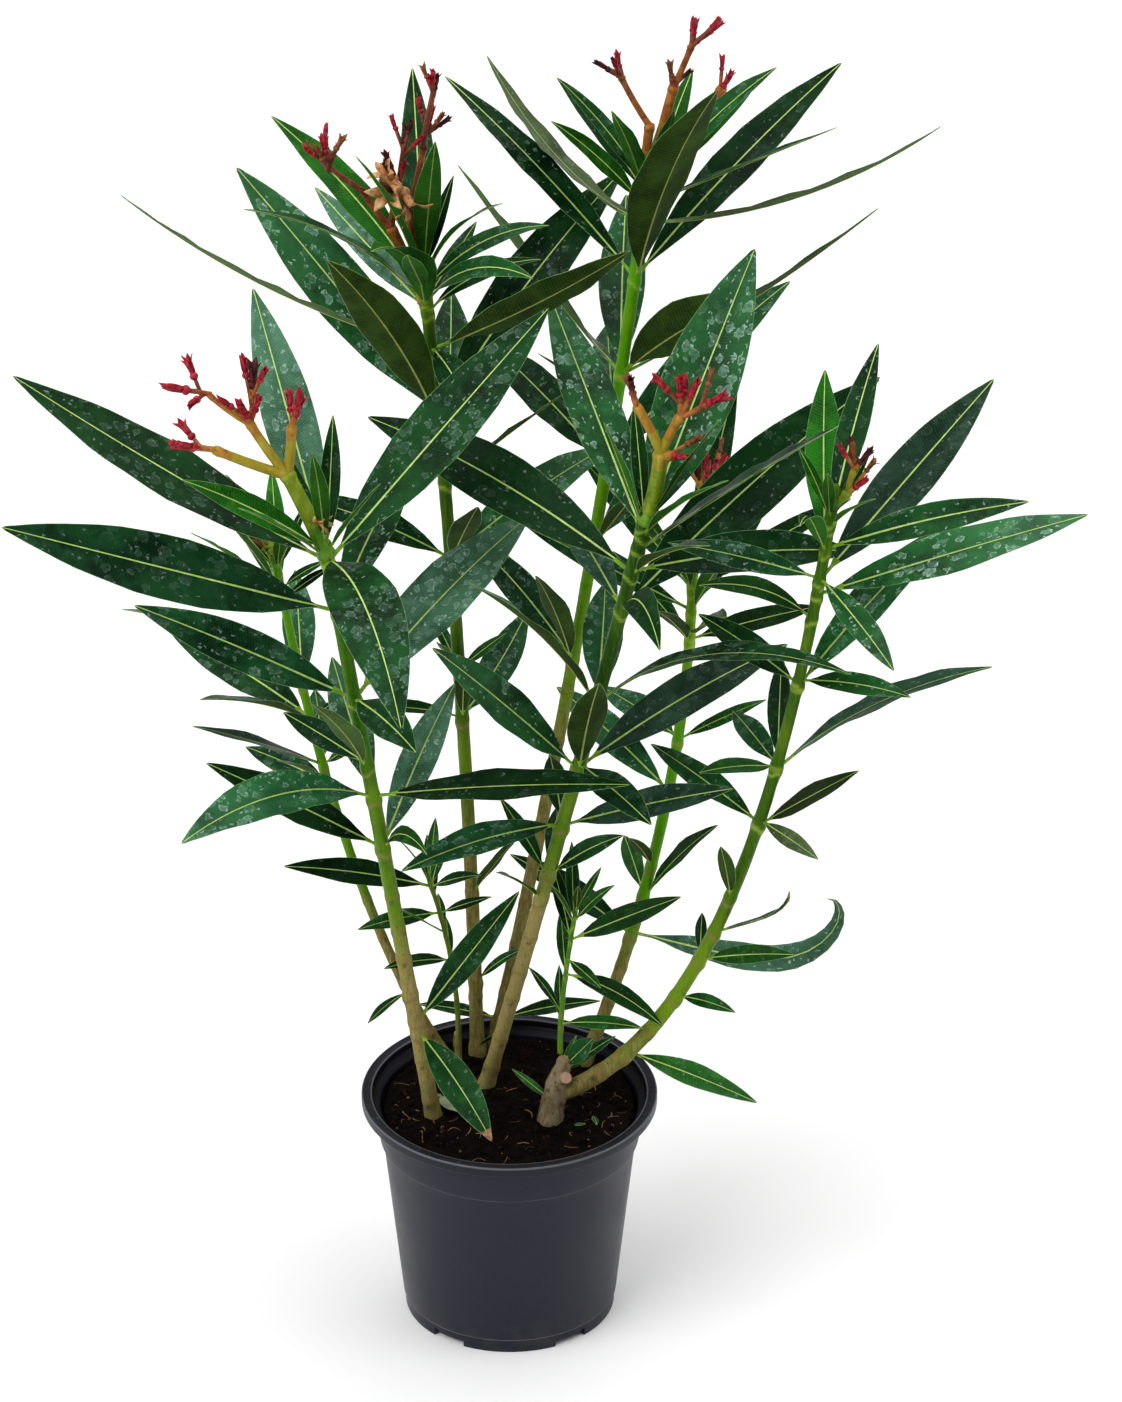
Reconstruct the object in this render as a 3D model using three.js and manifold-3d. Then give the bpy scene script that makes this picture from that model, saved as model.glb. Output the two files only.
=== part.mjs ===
// Potted oleander in a black nursery pot. Millimetres, +Z up, +Y away from the viewer,
// origin at the centre of the pot's underside.
import * as THREE from "three";
import { mergeVertices } from "three/addons/utils/BufferGeometryUtils.js";
import Module from "manifold-3d";

const wasm = await Module();
wasm.setup();
const { Manifold, Mesh } = wasm;

const GAP = 0.3; // between solids that touch
const POT = {
  height: 148, lipR: 90, lipInR: 83.5, lipDepth: 6,
  bandTopR: 80.5, bandFootR: 79, bandFootZ: 118, wallTopR: 77, wallTopZ: 116.5,
  footR: 65.2, footZ: 9, baseR: 64, wall: 2, floor: 2.4, sides: 48,
  notches: 5, notchWide: 22, notchTall: 5.5, notchDeep: 10, notchTurn: -54,
};
const SOIL = 138; // height of the soil's face
const LEAF = { ratio: 0.185, spread: 0.012, slim: 90, thinnest: 1.5, fold: 0.18, bend: 12 };
const TOP_LEAF = { within: 35, shorter: 145, broad: 0.8 }; // the narrow leaves round the growing tips
const FLARE = { r: 1.2, fade: 8 };
const OWN_CLEAR = 3;
const OTHER_CLEAR = 7.5;
const LIGHT = [0, -0.87, 0.49];

// foot, knee and tip of each cane, its radius at foot and tip, and the height above the soil where its leaves begin
const CANES = {
  front_left: { foot: [-46, -14, SOIL], knee: [-76, -50, 360], tip: [-106, -80, 572], r: [5.2, 4.2], clear: 200 },
  far_left: { foot: [-40, 58, SOIL], knee: [-103, 82, 235], tip: [-140, 98, 460], r: [3.6, 2.8], clear: 168 },
  centre_left: { foot: [-20, 63, SOIL], knee: [-25, 87, 394], tip: [-50, 103, 650], r: [4.6, 4], clear: 102 },
  centre_back: { foot: [-10, 69, SOIL], knee: [49, 104, 415], tip: [82, 136, 690], r: [4.4, 4], clear: 246 },
  front_centre: { foot: [-14, 25, SOIL], knee: [38, -14, 359], tip: [82, -52, 577], r: [5, 4.4], clear: 140 },
  right_back: { foot: [46, 50, SOIL], knee: [109, 89, 291], tip: [111, 112, 450], r: [4.4, 3.2], clear: 72 },
  right: { foot: [36, -13, 157], knee: [148, -36, 225], tip: [191, -60, 598], r: [5.4, 3.8], clear: 115 },
  young_right: { foot: [31, -8, 181], knee: [30, -6, 215], tip: [42, 2, 285], r: [1.9, 1.3], clear: 0 },
  young_left: { foot: [-32, 48, SOIL], knee: [-28, 52, 200], tip: [-50, 42, 277], r: [1.9, 1.4], clear: 0 },
  stump: { foot: [25, -15, SOIL], knee: [29, -14, 160], tip: [34, -11, 180], r: [6.8, 4.2], clear: 99 },
};
// height above the soil, azimuth of the first leaf, then each leaf of the whorl:
// length, rise, swing away from its third of the turn
const WHORLS = {
  front_left: [
    [67, 308, [[85, -27]]], [76, 20, [[98, 36]]], [98, 200, [[30, -35]]],
    [210, 65, [[120, 27], [120, 32], [62, 22]]],
    [248, 100, [[130, 10], [158, 11], [160, 12]]],
    [271, 245, [[105, 48], 0, [90, -5]]],
    [320, 50, [[165, 21], [138, 22], [120, 13]]],
    [384, 196, [[213, 23], 0, [140, 10]]],
    [420, 45, [[205, 29], [210, 27], [190, -4, 3]]],
    [424, 110, [[172, 39], [95, 40], 0]],
    [428, 200, [[105, 36], [70, 55], [78, 55]]],
    [431, 260, [[78, 72], 0, [62, 60]]],
  ],
  far_left: [
    [176, 245, [[80, 38], 0, [90, -10]]],
    [190, 210, [[100, 30], [40, 40], [90, 0]]],
    [220, 130, [[130, 3], [122, 30, -15], [25, 30]]],
    [242, 215, [[155, 36], 0, [110, 10]]],
    [299, 110, [[115, 14], [105, 45], [40, 40]]],
    [306, 215, [[110, 55], [40, 40], [85, 30]]],
    [318, 160, [[60, 45], [50, 60], [45, 60]]],
  ],
  centre_left: [
    [5, 298, [[50, 38]]], [49, 343, [[40, 43]]], [109, 314, [[70, 54]]],
    [225, 65, [[110, 9], [60, 10], [60, 61, -30]]],
    [258, 0, [[35, 40], [45, 30], [40, 50]]],
    [330, 165, [[100, 20], [100, 40], [140, 10]]],
    [380, 90, [[170, 15], 0, [115, 45]]],
    [423, 45, [[190, 35], [195, 35, -25], [170, 56, -55]]],
    [467, 278, [[95, -5, 12], [160, 36, -63], [207, 23, 5]]],
    [491, 128, [[130, 12], [110, 45], [75, 25]]],
    [498, 190, [[130, 33], [110, 28], [66, 21, -13]]],
    [505, 141, [[140, 34], [90, 40], [85, 22]]],
    [512, 96, [[140, 36], [105, 64], [80, 50]]],
    [517, 160, [[70, 60], [100, 76, 15], [60, 70]]],
  ],
  centre_back: [
    [18, 15, [[62, 3], [50, 3, 30]]],
    [255, 245, [[100, 58], 0, [110, 20]]],
    [330, 60, [[120, 10], [130, 20], [100, 50]]],
    [380, 45, [[165, 26], [140, 10, -45], 0]],
    [410, 215, [[80, 48], 0, [120, 0]]],
    [438, 92, [[160, 15], [190, 20, -91], [187, 36, 30]]],
    [440, 330, [[125, 40]]],
    [499, 45, [[189, 27, -4], [190, 20, -40], [180, 62, 15]]],
    [533, 15, [[190, 14], [158, 16, -4], 0]],
    [545, 75, [[105, 25], [85, 48], [122, 23, 45]]],
    [551, 15, [[115, 41], [88, 38], [100, 55]]],
    [557, 60, [[92, 40, -40], [80, 52], [75, 62]]],
  ],
  front_centre: [
    [148, 237, [[60, 41], 0, 0]],
    [167, 323, [[70, 40], [60, 10], [58, 62, -23]]],
    [204, 335, [[120, 25], [80, 0], [108, 6, -18]]],
    [248, 35, [[155, 13], [140, 48, 50], [125, 66]]],
    [250, 291, [[110, 9]]],
    [299, 335, [[175, 18], [130, 10], [140, 50]]],
    [367, 33, [[210, 27], [120, 6, -40], [110, 15, 9]]],
    [394, 27, [[140, -5], [198, 12], [110, 34, 30]]],
    [412, 335, [[165, 41]]],
    [423, 57, [[180, 47], [180, 26, -70], [120, 40]]],
    [430, 100, [[70, 60], [80, 70], [90, 60]]],
  ],
  right_back: [
    [80, 32, [[188, 5], [90, 20], 0]],
    [105, 340, [[80, 52], [70, 0]]],
    [124, 250, [[60, 45]]],
    [170, 127, [[120, 8]]],
    [203, 117, [[100, -8], 0, [60, 30]]],
    [266, 250, [[85, 40], [80, 10], [80, 20]]],
    [271, 290, [[90, 34]]],
    [285, 60, [[120, 20], [110, 30], [100, 50]]],
    [298, 10, [[110, 30], [110, 40], [90, 50]]],
    [304, 70, [[125, 55], [90, 50], [80, 60]]],
  ],
  right: [
    [50, 345, [[82, -17]]], [95, 310, [[50, 12]]],
    [123, 331, [[68, 20], [40, 10], 0]],
    [144, 330, [[68, 42]]],
    [170, 260, [[60, 60]]],
    [223, 342, [[75, 38], [100, 5, 26], 0]],
    [225, 302, [[60, 3]]],
    [264, 347, [[152, 33], [90, -8], [72, 20]]],
    [266, 90, [[80, 22]]],
    [322, 10, [[130, 40, 20], [90, 5], 0]],
    [325, 326, [[80, 11]]],
    [369, 204, [[80, 26]]],
    [385, 5, [[163, 16]]],
    [396, 297, [[100, -6], [160, 31, -18], [90, 10]]],
    [417, 345, [[125, 20], [113, 38, -15], [90, 36, 30]]],
    [433, 92, [[121, 35, -17], [60, 40, 90], [118, 76, 5]]],
    [438, 20, [[45, 60], [45, 60], [50, 60]]],
  ],
  young_right: [
    [62, 330, [[60, 15], [40, 30], 0]],
    [70, 165, [[35, 55]]],
    [95, 335, [[70, -15], [45, 30], 0]],
    [105, 296, [[45, 5]]],
    [118, 350, [[75, 28], [50, 50], 0]],
    [130, 100, [[48, 60], [40, 60], [40, 50]]],
    [137, 40, [[30, 50], [35, 60], [30, 60]]],
  ],
  young_left: [
    [74, 217, [[50, 12], 0, [30, 30]]],
    [95, 219, [[50, 40], 0, [30, 20]]],
    [109, 218, [[60, 8], [40, 30]]],
    [120, 100, [[50, 20], 0, 0]],
    [129, 200, [[97, 18], [45, 30], [45, 10]]],
    [134, 80, [[40, 40], [35, 60]]],
  ],
  stump: [
    [12, 150, [[30, 25]]], [24, 40, [[30, 35]]], [30, 30, [[40, 20]]], [36, 345, [[28, 52]]],
  ],
}
// leaves that are set apart: how far they bend down along their length and how late, their roll, how broad they are
const ODD = {
  "front_left 67 0": { bend: 20, broad: 1.4, roll: 30 },
  "front_left 98 0": { broad: 1.7, roll: 0, bend: 30 },
  "front_left 210 2": { bend: 80 },
  "front_left 248 1": { bend: 45 },
  "front_left 248 2": { bend: 10, roll: 8 },
  "front_left 320 0": { broad: 1.3 },
  "front_left 384 0": { bend: 0 },
  "front_left 420 1": { bend: -4 },
  "front_left 420 2": { bend: 60, broad: 1.2 },
  "far_left 190 0": { roll: 0 },
  "far_left 220 1": { roll: 8 },
  "far_left 242 0": { roll: 10, bend: 25 },
  "centre_left 225 0": { bend: -10 },
  "centre_left 423 2": { roll: 38, broad: 1.1 },
  "centre_left 467 0": { bend: 30, broad: 1.2 },
  "centre_left 467 1": { roll: -52, bend: -10 },
  "centre_left 467 2": { roll: 33, bend: -30 },
  "centre_left 491 1": { bend: 70, broad: 1.5 },
  "centre_left 491 2": { bend: 50, broad: 0.8 },
  "centre_left 498 0": { roll: 10, bend: 40 },
  "centre_left 498 1": { bend: 55, broad: 0.8 },
  "centre_left 505 2": { bend: 60, broad: 0.8 },
  "centre_left 512 2": { bend: 50, broad: 0.8 },
  "centre_left 517 1": { broad: 1 },
  "centre_back 438 1": { roll: 58, bend: -15 },
  "centre_back 438 2": { roll: -25, bend: -12 },
  "centre_back 440 0": { roll: -60, broad: 1.6 },
  "centre_back 499 0": { broad: 0.75 },
  "centre_back 499 1": { broad: 0.55, roll: -10, bend: 8 },
  "centre_back 499 2": { broad: 1.25, roll: 0 },
  "centre_back 533 0": { roll: -32, bend: -38 },
  "centre_back 533 1": { roll: 32, bend: -50 },
  "centre_back 545 2": { roll: -20, bend: 0 },
  "centre_back 557 0": { broad: 1.15 },
  "front_centre 299 0": { bend: 60, roll: 0, broad: 0.75 },
  "front_centre 367 2": { bend: 70 },
  "front_centre 412 0": { roll: 0 },
  "front_centre 423 0": { broad: 1.3 },
  "right_back 80 0": { bend: -200, curl: 5, roll: 45, broad: 0.55 },
  "right_back 105 0": { roll: 35 },
  "right_back 271 0": { roll: 35, broad: 1.2 },
  "right 144 0": { curl: 5, bend: -70 },
  "right 223 0": { broad: 1.2 },
  "right 264 0": { roll: 0, bend: 30 },
  "right 369 0": { bend: 50 },
  "right 417 1": { broad: 1.15 },
  "right 417 2": { curl: 4, bend: 60 },
  "right 433 0": { broad: 0.8 },
  "young_right 95 0": { bend: 40 },
  "stump 36 0": { broad: 2.6 },
}
// flower heads: each piece grows from the end of the piece it names, -1 being the cane: azimuth, rise, length
const STALKS = {
  front_left: [[-1, 180, 67, 53], [0, 180, 58, 40], [0, 190, 26, 46], [2, 170, 3, 18],
    [1, 180, 39, 30], [4, 190, 17, 18], [1, 60, 82, 28], [0, 0, 85, 31], [7, 20, 72, 12],
    [1, 240, 60, 11]],
  far_left: [[-1, 150, 70, 12], [0, 180, 50, 6], [0, 20, 60, 8], [0, 260, 40, 8]],
  centre_left: [[-1, 180, 68, 50], [0, 180, 56, 30], [1, 185, 40, 27], [2, 175, 46, 12],
    [0, 20, 80, 29], [4, 40, 80, 30], [-1, 150, 84, 63], [6, 0, 80, 37], [7, 10, 80, 41],
    [7, 60, 66, 16], [4, 200, 60, 11], [2, 120, 70, 11]],
  centre_back: [[-1, 60, 86, 56], [0, 180, 62, 36], [1, 190, 37, 13], [1, 150, 78, 10],
    [-1, 20, 78, 82], [4, 0, 69, 28], [5, 350, 44, 19], [5, 30, 78, 12], [4, 200, 80, 11],
    [-1, 10, 60, 95]],
  front_centre: [[-1, 0, 80, 42], [0, 180, 66, 34], [1, 170, 74, 13], [0, 0, 66, 27], [3, 90, 86, 18],
    [3, 10, 65, 19], [3, 350, 32, 24], [0, 330, 10, 13]],
  right_back: [[-1, 0, 85, 51], [0, 0, 64, 24], [0, 150, 80, 17], [0, 40, 30, 11]],
  right: [[-1, 0, 43, 9], [0, 0, 77, 15], [1, 0, 55, 10], [0, 350, 43, 9], [1, 90, 80, 8]],
}
const DROP = { // from the cane's tip down to its flower head's root
  front_left: 6, far_left: 6, centre_left: 14, centre_back: 14, front_centre: 5, right_back: 4, right: 12,
};
const STALK_R = { // radius of a flower head's first stalks; each fork is thinner by the taper
  front_left: 4.2, far_left: 1.8, centre_left: 2.5, centre_back: 2.4, front_centre: 4.2, right_back: 2.6, right: 2.8,
};
const STALK_TAPER = 0.62, STALK_THINNEST = 1.3;
// small turns and lifts tried in order when a leaf would touch something
const NUDGES = [
  [0, 0], [6, 0], [-6, 0], [0, 6], [0, -6],
  [9, 7], [-9, 7], [9, -7], [-9, -7],
  [14, 0], [-14, 0], [0, 13], [0, -13], [20, 8], [-20, 8],
];

// a fixed sequence of numbers from -1 to 1
function dice(seed) {
  let state = seed;
  return () => {
    state = (state * 16807) % 2147483647;
    return (state / 2147483647) * 2 - 1;
  };
}

const rad = (deg) => (deg * Math.PI) / 180;
const add = (p, q, k = 1) => [p[0] + q[0] * k, p[1] + q[1] * k, p[2] + q[2] * k];
const dot = (p, q) => p[0] * q[0] + p[1] * q[1] + p[2] * q[2];
const gap = (p, q) => Math.hypot(p[0] - q[0], p[1] - q[1], p[2] - q[2]);
const heading = (az, rise) => [
  Math.cos(rad(rise)) * Math.cos(rad(az)), Math.cos(rad(rise)) * Math.sin(rad(az)), Math.sin(rad(rise)),
];

// point of a cane at share t: (1 - t)^2 foot + 2 t (1 - t) knee + t^2 tip
function along(cane, t) {
  const a = (1 - t) ** 2, b = 2 * t * (1 - t), c = t * t;
  return [0, 1, 2].map((i) => a * cane.foot[i] + b * cane.knee[i] + c * cane.tip[i]);
}

const girth = (cane, t) => cane.r[0] + (cane.r[1] - cane.r[0]) * t;

// what a cane gains at the soil: a flare that fades with height
const flare = (z) => FLARE.r * Math.exp(-Math.max(z - SOIL, 0) / FLARE.fade);

// share at which a cane reaches height z
function atHeight(cane, z) {
  const f = cane.foot[2], k = cane.knee[2], p = cane.tip[2];
  const a = f - 2 * k + p, b = 2 * (k - f);
  if (Math.abs(a) < 1e-9) return (z - f) / b;
  return (-b + Math.sqrt(Math.max(b * b - 4 * a * (f - z), 0))) / (2 * a);
}

// half width of a blade at share s, as a share of the widest: a slim stalk, then sin(pi u^0.92)^0.85
function blade(s) {
  const u = Math.min(Math.max((s - 0.05) / 0.95, 0), 1);
  return s >= 1 ? 0 : Math.max(0.08, Math.max(Math.sin(Math.PI * u ** 0.92), 0) ** 0.85);
}

// a leaf's midrib: its angle starts above the rise and falls by bend along the length, as s^curl
function midrib(leaf) {
  const steps = 24, rise = rad(leaf.rise), bend = rad(leaf.bend);
  const tilt = (s) => rise + bend * (1 / (leaf.curl + 1) - s ** leaf.curl);
  const out = [0], up = [0];
  for (let i = 0; i < steps; i++) {
    out.push(out[i] + Math.cos(tilt((i + 0.5) / steps)) / steps);
    up.push(up[i] + Math.sin(tilt((i + 0.5) / steps)) / steps);
  }
  const read = (row, s) => {
    const x = Math.min(Math.max(s * steps, 0), steps), i = Math.min(Math.floor(x), steps - 1);
    return row[i] + (row[i + 1] - row[i]) * (x - i);
  };
  const flat = heading(leaf.az, 0), across = heading(leaf.az + 90, 0);
  return (s) => {
    let centre = add(leaf.base, flat, leaf.length * read(out, s));
    centre = add(centre, [0, 0, 1], leaf.length * read(up, s));
    centre = add(centre, across, leaf.length * leaf.sway * s * s);
    const t = tilt(s), turn = rad(leaf.roll) * Math.min(1, s / 0.2);
    const lift = add([0, 0, Math.cos(t)], flat, -Math.sin(t));
    const side = across.map((v, i) => v * Math.cos(turn) + lift[i] * Math.sin(turn));
    const face = lift.map((v, i) => v * Math.cos(turn) - across[i] * Math.sin(turn));
    return { centre, side, face };
  };
}

// point of a blade at share s and at a of its half width, the edges raised by the fold
function onBlade(leaf, place, s, a) {
  const { centre, side, face } = place(s), w = (leaf.width / 2) * blade(s);
  return add(add(centre, side, w * a), face, leaf.fold * w * Math.abs(a));
}

function sampled(leaf) {
  const place = midrib(leaf), points = [];
  for (let i = 0; i < 30; i++) {
    const s = 0.05 + (0.95 * i) / 29;
    for (let a = -3; a <= 3; a++) points.push([...onBlade(leaf, place, s, a / 3), s * leaf.length]);
  }
  const low = [0, 1, 2].map((i) => Math.min(...points.map((p) => p[i])));
  const high = [0, 1, 2].map((i) => Math.max(...points.map((p) => p[i])));
  return { points, low, high };
}

// roll that turns a blade that share of the way to the light
function turned(az, rise, share) {
  const side = heading(az + 90, 0), face = add([0, 0, Math.cos(rad(rise))], heading(az, 0), -Math.sin(rad(rise)));
  if (dot(face, LIGHT) < 0.05) return 0;
  const roll = (share * Math.atan2(-dot(side, LIGHT), dot(face, LIGHT)) * 180) / Math.PI;
  return Math.min(Math.max(roll, -60), 60);
}

function flowerHeads() {
  const made = [];
  for (const [mass, pieces] of Object.entries(STALKS)) {
    const ends = [], girths = [];
    pieces.forEach(([root, az, rise, length], i) => {
      girths.push(root < 0 ? STALK_R[mass] : Math.max(STALK_THINNEST, STALK_TAPER * girths[root]));
      const from = root < 0 ? add(CANES[mass].tip, [0, 0, 1], -DROP[mass]) : ends[root];
      const to = add(from, heading(az, rise), length);
      ends.push(to);
      made.push({ mass, from, to, az, rise, r: girths[i], last: !pieces.some((p) => p[0] === i) });
    });
  }
  return made;
}

// true when a point of rows comes nearer than reach to a point of others
function near(rows, others, reach, start = 0, otherStart = 0) {
  for (const p of rows) {
    if (p[3] <= start) continue;
    for (const q of others) if (!(q[3] <= otherStart) && gap(p, q) - (q[4] ?? 0) < reach) return true;
  }
  return false;
}

// what stops a leaf: a cane, the pot, a flower head or a leaf placed before it
function blocked(leaf, shape, canes, heads, placed) {
  for (const [name, points] of canes) {
    const own = name === leaf.mass;
    if (near(shape.points, points, own ? 1.5 : 2.5, own ? 13 : 0)) return true;
  }
  for (const [x, y, z] of shape.points) {
    const out = Math.hypot(x, y);
    if ((z < SOIL + 3 && out < 96) || (z < POT.height + 3.5 && out > 77 && out < 95)) return true;
  }
  for (const [name, points] of heads) {
    const own = name === leaf.mass;
    if (near(shape.points, points, own ? 2.5 : 6.5, own ? 20 : 0)) return true;
  }
  for (const [other, set] of placed) {
    if ([0, 1, 2].some((i) => shape.low[i] > set.high[i] + 8 || shape.high[i] < set.low[i] - 8)) continue;
    const own = other.mass === leaf.mass;
    if (near(shape.points, set.points, own ? OWN_CLEAR : OTHER_CLEAR, own ? 26 : 0, own ? 26 : 0)) return true;
  }
  return false;
}

// every leaf of every whorl, in order; one that can't stand clear is left out
function grow() {
  const roll = dice(20269), leaves = [], placed = [];
  const canes = Object.entries(CANES).map(([name, cane]) => [
    name, Array.from({ length: 60 }, (_, i) => [...along(cane, i / 59), 1, girth(cane, i / 59)]),
  ]);
  const heads = flowerHeads().map(({ mass, from, to, r }) => [
    mass, Array.from({ length: 12 }, (_, i) => [...add(from, add(to, from, -1), i / 11), 1, r]),
  ]);
  for (const [mass, rows] of Object.entries(WHORLS)) {
    const cane = CANES[mass];
    for (const [height, turn, sizes] of rows) {
      const t = atHeight(cane, SOIL + height), axis = along(cane, t), r = girth(cane, t);
      sizes.forEach((size, k) => {
        const [a, b, c, d] = [roll(), roll(), roll(), roll()];
        if (!size) return;
        const [length, rise, swing = 0] = size, odd = ODD[mass + " " + height + " " + k] ?? {};
        const top = cane.clear > 0 && mass !== "stump" && length < TOP_LEAF.shorter
          && rows.at(-1)[0] - height < TOP_LEAF.within;
        for (const [da, dr] of NUDGES) {
          const az = turn + 120 * k + swing + 3 * a + da, lift = rise + dr;
          const leaf = {
            mass, height, k, az, rise: lift, length, odd, t, r,
            base: add(axis, heading(az, 0), r * 0.5),
            bend: odd.bend ?? LEAF.bend + 10 * b, curl: odd.curl ?? 1,
            roll: odd.roll ?? turned(az, lift, 0.62 + 0.25 * c) + 6 * a,
            width: length * (LEAF.ratio + LEAF.spread * d) * (odd.broad ?? (top ? TOP_LEAF.broad : 1)),
            sway: 0.04 * d, fold: LEAF.fold + 0.08 * b,
          };
          const shape = sampled(leaf);
          if (blocked(leaf, shape, canes, heads, placed)) continue;
          leaves.push(leaf);
          placed.push([leaf, shape]);
          return;
        }
      });
    }
  }
  return leaves;
}

// a closed mesh as a solid
function solidOf(geometry) {
  geometry.deleteAttribute("normal");
  geometry.deleteAttribute("uv");
  const merged = mergeVertices(geometry, 1e-4);
  return new Manifold(new Mesh({
    numProp: 3, vertProperties: merged.attributes.position.array, triVerts: new Uint32Array(merged.index.array),
  }));
}

// a lathed profile of [radius, height] pairs, each of its points carried to place(x, share, z)
function shaped(profile, sides, place = (x, y, z) => [x, -z, y]) {
  const geometry = new THREE.LatheGeometry(profile.map(([r, y]) => new THREE.Vector2(r, y)), sides);
  const at = geometry.attributes.position;
  for (let i = 0; i < at.count; i++) at.setXYZ(i, ...place(at.getX(i), at.getY(i), at.getZ(i)));
  return solidOf(geometry);
}

// a round limb from a to b, tapering, with a frame square to its line
function limb(points, radii, sides) {
  const last = points.length - 1;
  const profile = [[0, 0], ...points.map((_, i) => [1, i]), [0, last]];
  return shaped(profile, sides, (x, y, z) => {
    const i = Math.round(y), run = add(points[Math.min(i + 1, last)], points[Math.max(i - 1, 0)], -1);
    const ahead = new THREE.Vector3(...run).normalize();
    const side = new THREE.Vector3(0, 1, 0).cross(ahead).normalize(), other = ahead.clone().cross(side);
    return [0, 1, 2].map((k) => points[i][k] + radii[i] * (x * side.getComponent(k) + z * -other.getComponent(k)));
  });
}

// a stretch of a cane, its steps shorter towards its lower end, where it may flare
function caneSolid(cane, from, to, steps, sides) {
  const shares = Array.from({ length: steps + 1 }, (_, i) => from + (to - from) * (i / steps) ** 1.6);
  const points = shares.map((t) => along(cane, t));
  return limb(points, shares.map((t, i) => girth(cane, t) + flare(points[i][2])), sides);
}

// a leaf as a shallow keel in section, its faces meeting at the edges, with a blunt root
function leafSolid(leaf) {
  const place = midrib(leaf);
  let stops = [0, 0.1, 0.5];
  if (leaf.length >= 80) stops = [0, 0.08, 0.36, 0.74];
  if (leaf.length >= 130) stops = [0, 0.07, 0.3, 0.58, 0.83];
  if (Math.abs(leaf.bend) > 40) stops.push(0.66, 0.92);
  stops.sort((p, q) => p - q);
  const thick = Math.max(LEAF.thinnest, leaf.length / LEAF.slim);
  return shaped([[0, 0], ...stops.map((s) => [1, s]), [0, 1]], 3, (x, s, z) => {
    const { centre, side, face } = place(s), w = (leaf.width / 2) * blade(s);
    if (Math.hypot(x, z) < 0.5) return centre;
    if (Math.abs(x) < 0.1) return add(centre, face, -thick * 0.6);
    return add(add(centre, side, Math.sign(x) * w), face, thick * 0.4);
  });
}

function straight(from, to, r0, r1, sides) {
  return limb([from, to], [r0, r1], sides);
}

// a stalk's piece, and the calyx at the end of the last ones: a bud that swells and closes to a point
function stalkSolids(piece) {
  const { from, to, az, rise, r, last } = piece, ahead = heading(az, rise);
  const solids = [straight(add(from, ahead, -r), add(to, ahead, r * 0.6), r, r * 0.9, 5)];
  if (last) {
    const steps = [[-1, 1], [3.5, 2.6], [10, 0.8]];
    solids.push(limb(steps.map(([d]) => add(to, ahead, d)), steps.map(([, w]) => w), 5));
  }
  return solids;
}

const biggest = (solid) => solid.decompose().reduce((a, b) => (b.volume() > a.volume() ? b : a));

const plant = new THREE.Group();
plant.name = "potted_oleander";

function addNode(name, solid, colour, roughness) {
  const mesh = solid.getMesh(), geometry = new THREE.BufferGeometry();
  const at = new Float32Array(mesh.numVert * 3);
  for (let i = 0; i < mesh.numVert; i++) {
    at.set(mesh.vertProperties.subarray(i * mesh.numProp, i * mesh.numProp + 3), i * 3);
  }
  geometry.setAttribute("position", new THREE.BufferAttribute(at, 3));
  geometry.setIndex(new THREE.BufferAttribute(new Uint32Array(mesh.triVerts), 1));
  geometry.computeVertexNormals();
  const part = new THREE.Mesh(geometry, new THREE.MeshStandardMaterial({ color: colour, roughness }));
  part.name = name;
  plant.add(part);
}

// inner radius of the pot at height z
function insideR(z) {
  if (z <= POT.wallTopZ) {
    return POT.footR - POT.wall + ((POT.wallTopR - POT.footR) * (z - POT.footZ)) / (POT.wallTopZ - POT.footZ);
  }
  const rim = POT.height - POT.lipDepth;
  return Math.min(POT.bandFootR + ((POT.bandTopR - POT.bandFootR) * (z - POT.bandFootZ)) / (rim - POT.bandFootZ), POT.bandTopR)
    - POT.wall;
}

function potSolid() {
  const rim = POT.height - POT.lipDepth;
  let pot = shaped([
    [0, 0], [POT.baseR, 0], [POT.baseR, POT.footZ - 0.8], [POT.footR, POT.footZ],
    [POT.wallTopR, POT.wallTopZ], [POT.bandFootR, POT.bandFootZ], [POT.bandTopR, rim],
    [POT.lipR - 0.6, rim], [POT.lipR, rim + 0.8], [POT.lipR, POT.height - 0.8], [POT.lipR - 0.8, POT.height],
    [POT.lipInR + 0.8, POT.height], [POT.lipInR, POT.height - 0.8], [insideR(rim), rim - 2],
    [insideR(POT.bandFootZ + 2), POT.bandFootZ + 2], [insideR(POT.wallTopZ), POT.wallTopZ - 1],
    [insideR(POT.floor), POT.floor], [0, POT.floor],
  ], POT.sides);
  for (let i = 0; i < POT.notches; i++) {
    const box = new THREE.BoxGeometry(POT.notchDeep * 2, POT.notchWide, POT.notchTall * 2);
    box.translate(POT.baseR + POT.notchDeep * 0.1, 0, 0);
    box.rotateZ(rad(POT.notchTurn + (i * 360) / POT.notches));
    pot = pot.subtract(solidOf(box));
  }
  return pot;
}

function soilSolid() {
  const low = POT.floor + GAP, inset = GAP + 0.1;
  return shaped([
    [0, low], [insideR(low) - inset, low], [insideR(POT.wallTopZ) - inset, POT.wallTopZ - 1],
    [insideR(POT.bandFootZ + 2) - inset, POT.bandFootZ + 2], [insideR(SOIL) - inset - 0.3, SOIL], [0, SOIL],
  ], POT.sides);
}

const BARK = 0x8a7d55, GREEN = 0x2f5f45, BLACK = 0x1f2024, EARTH = 0x33241b;
addNode("pot", potSolid(), BLACK, 0.55);
addNode("soil", soilSolid(), EARTH, 1);

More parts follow.
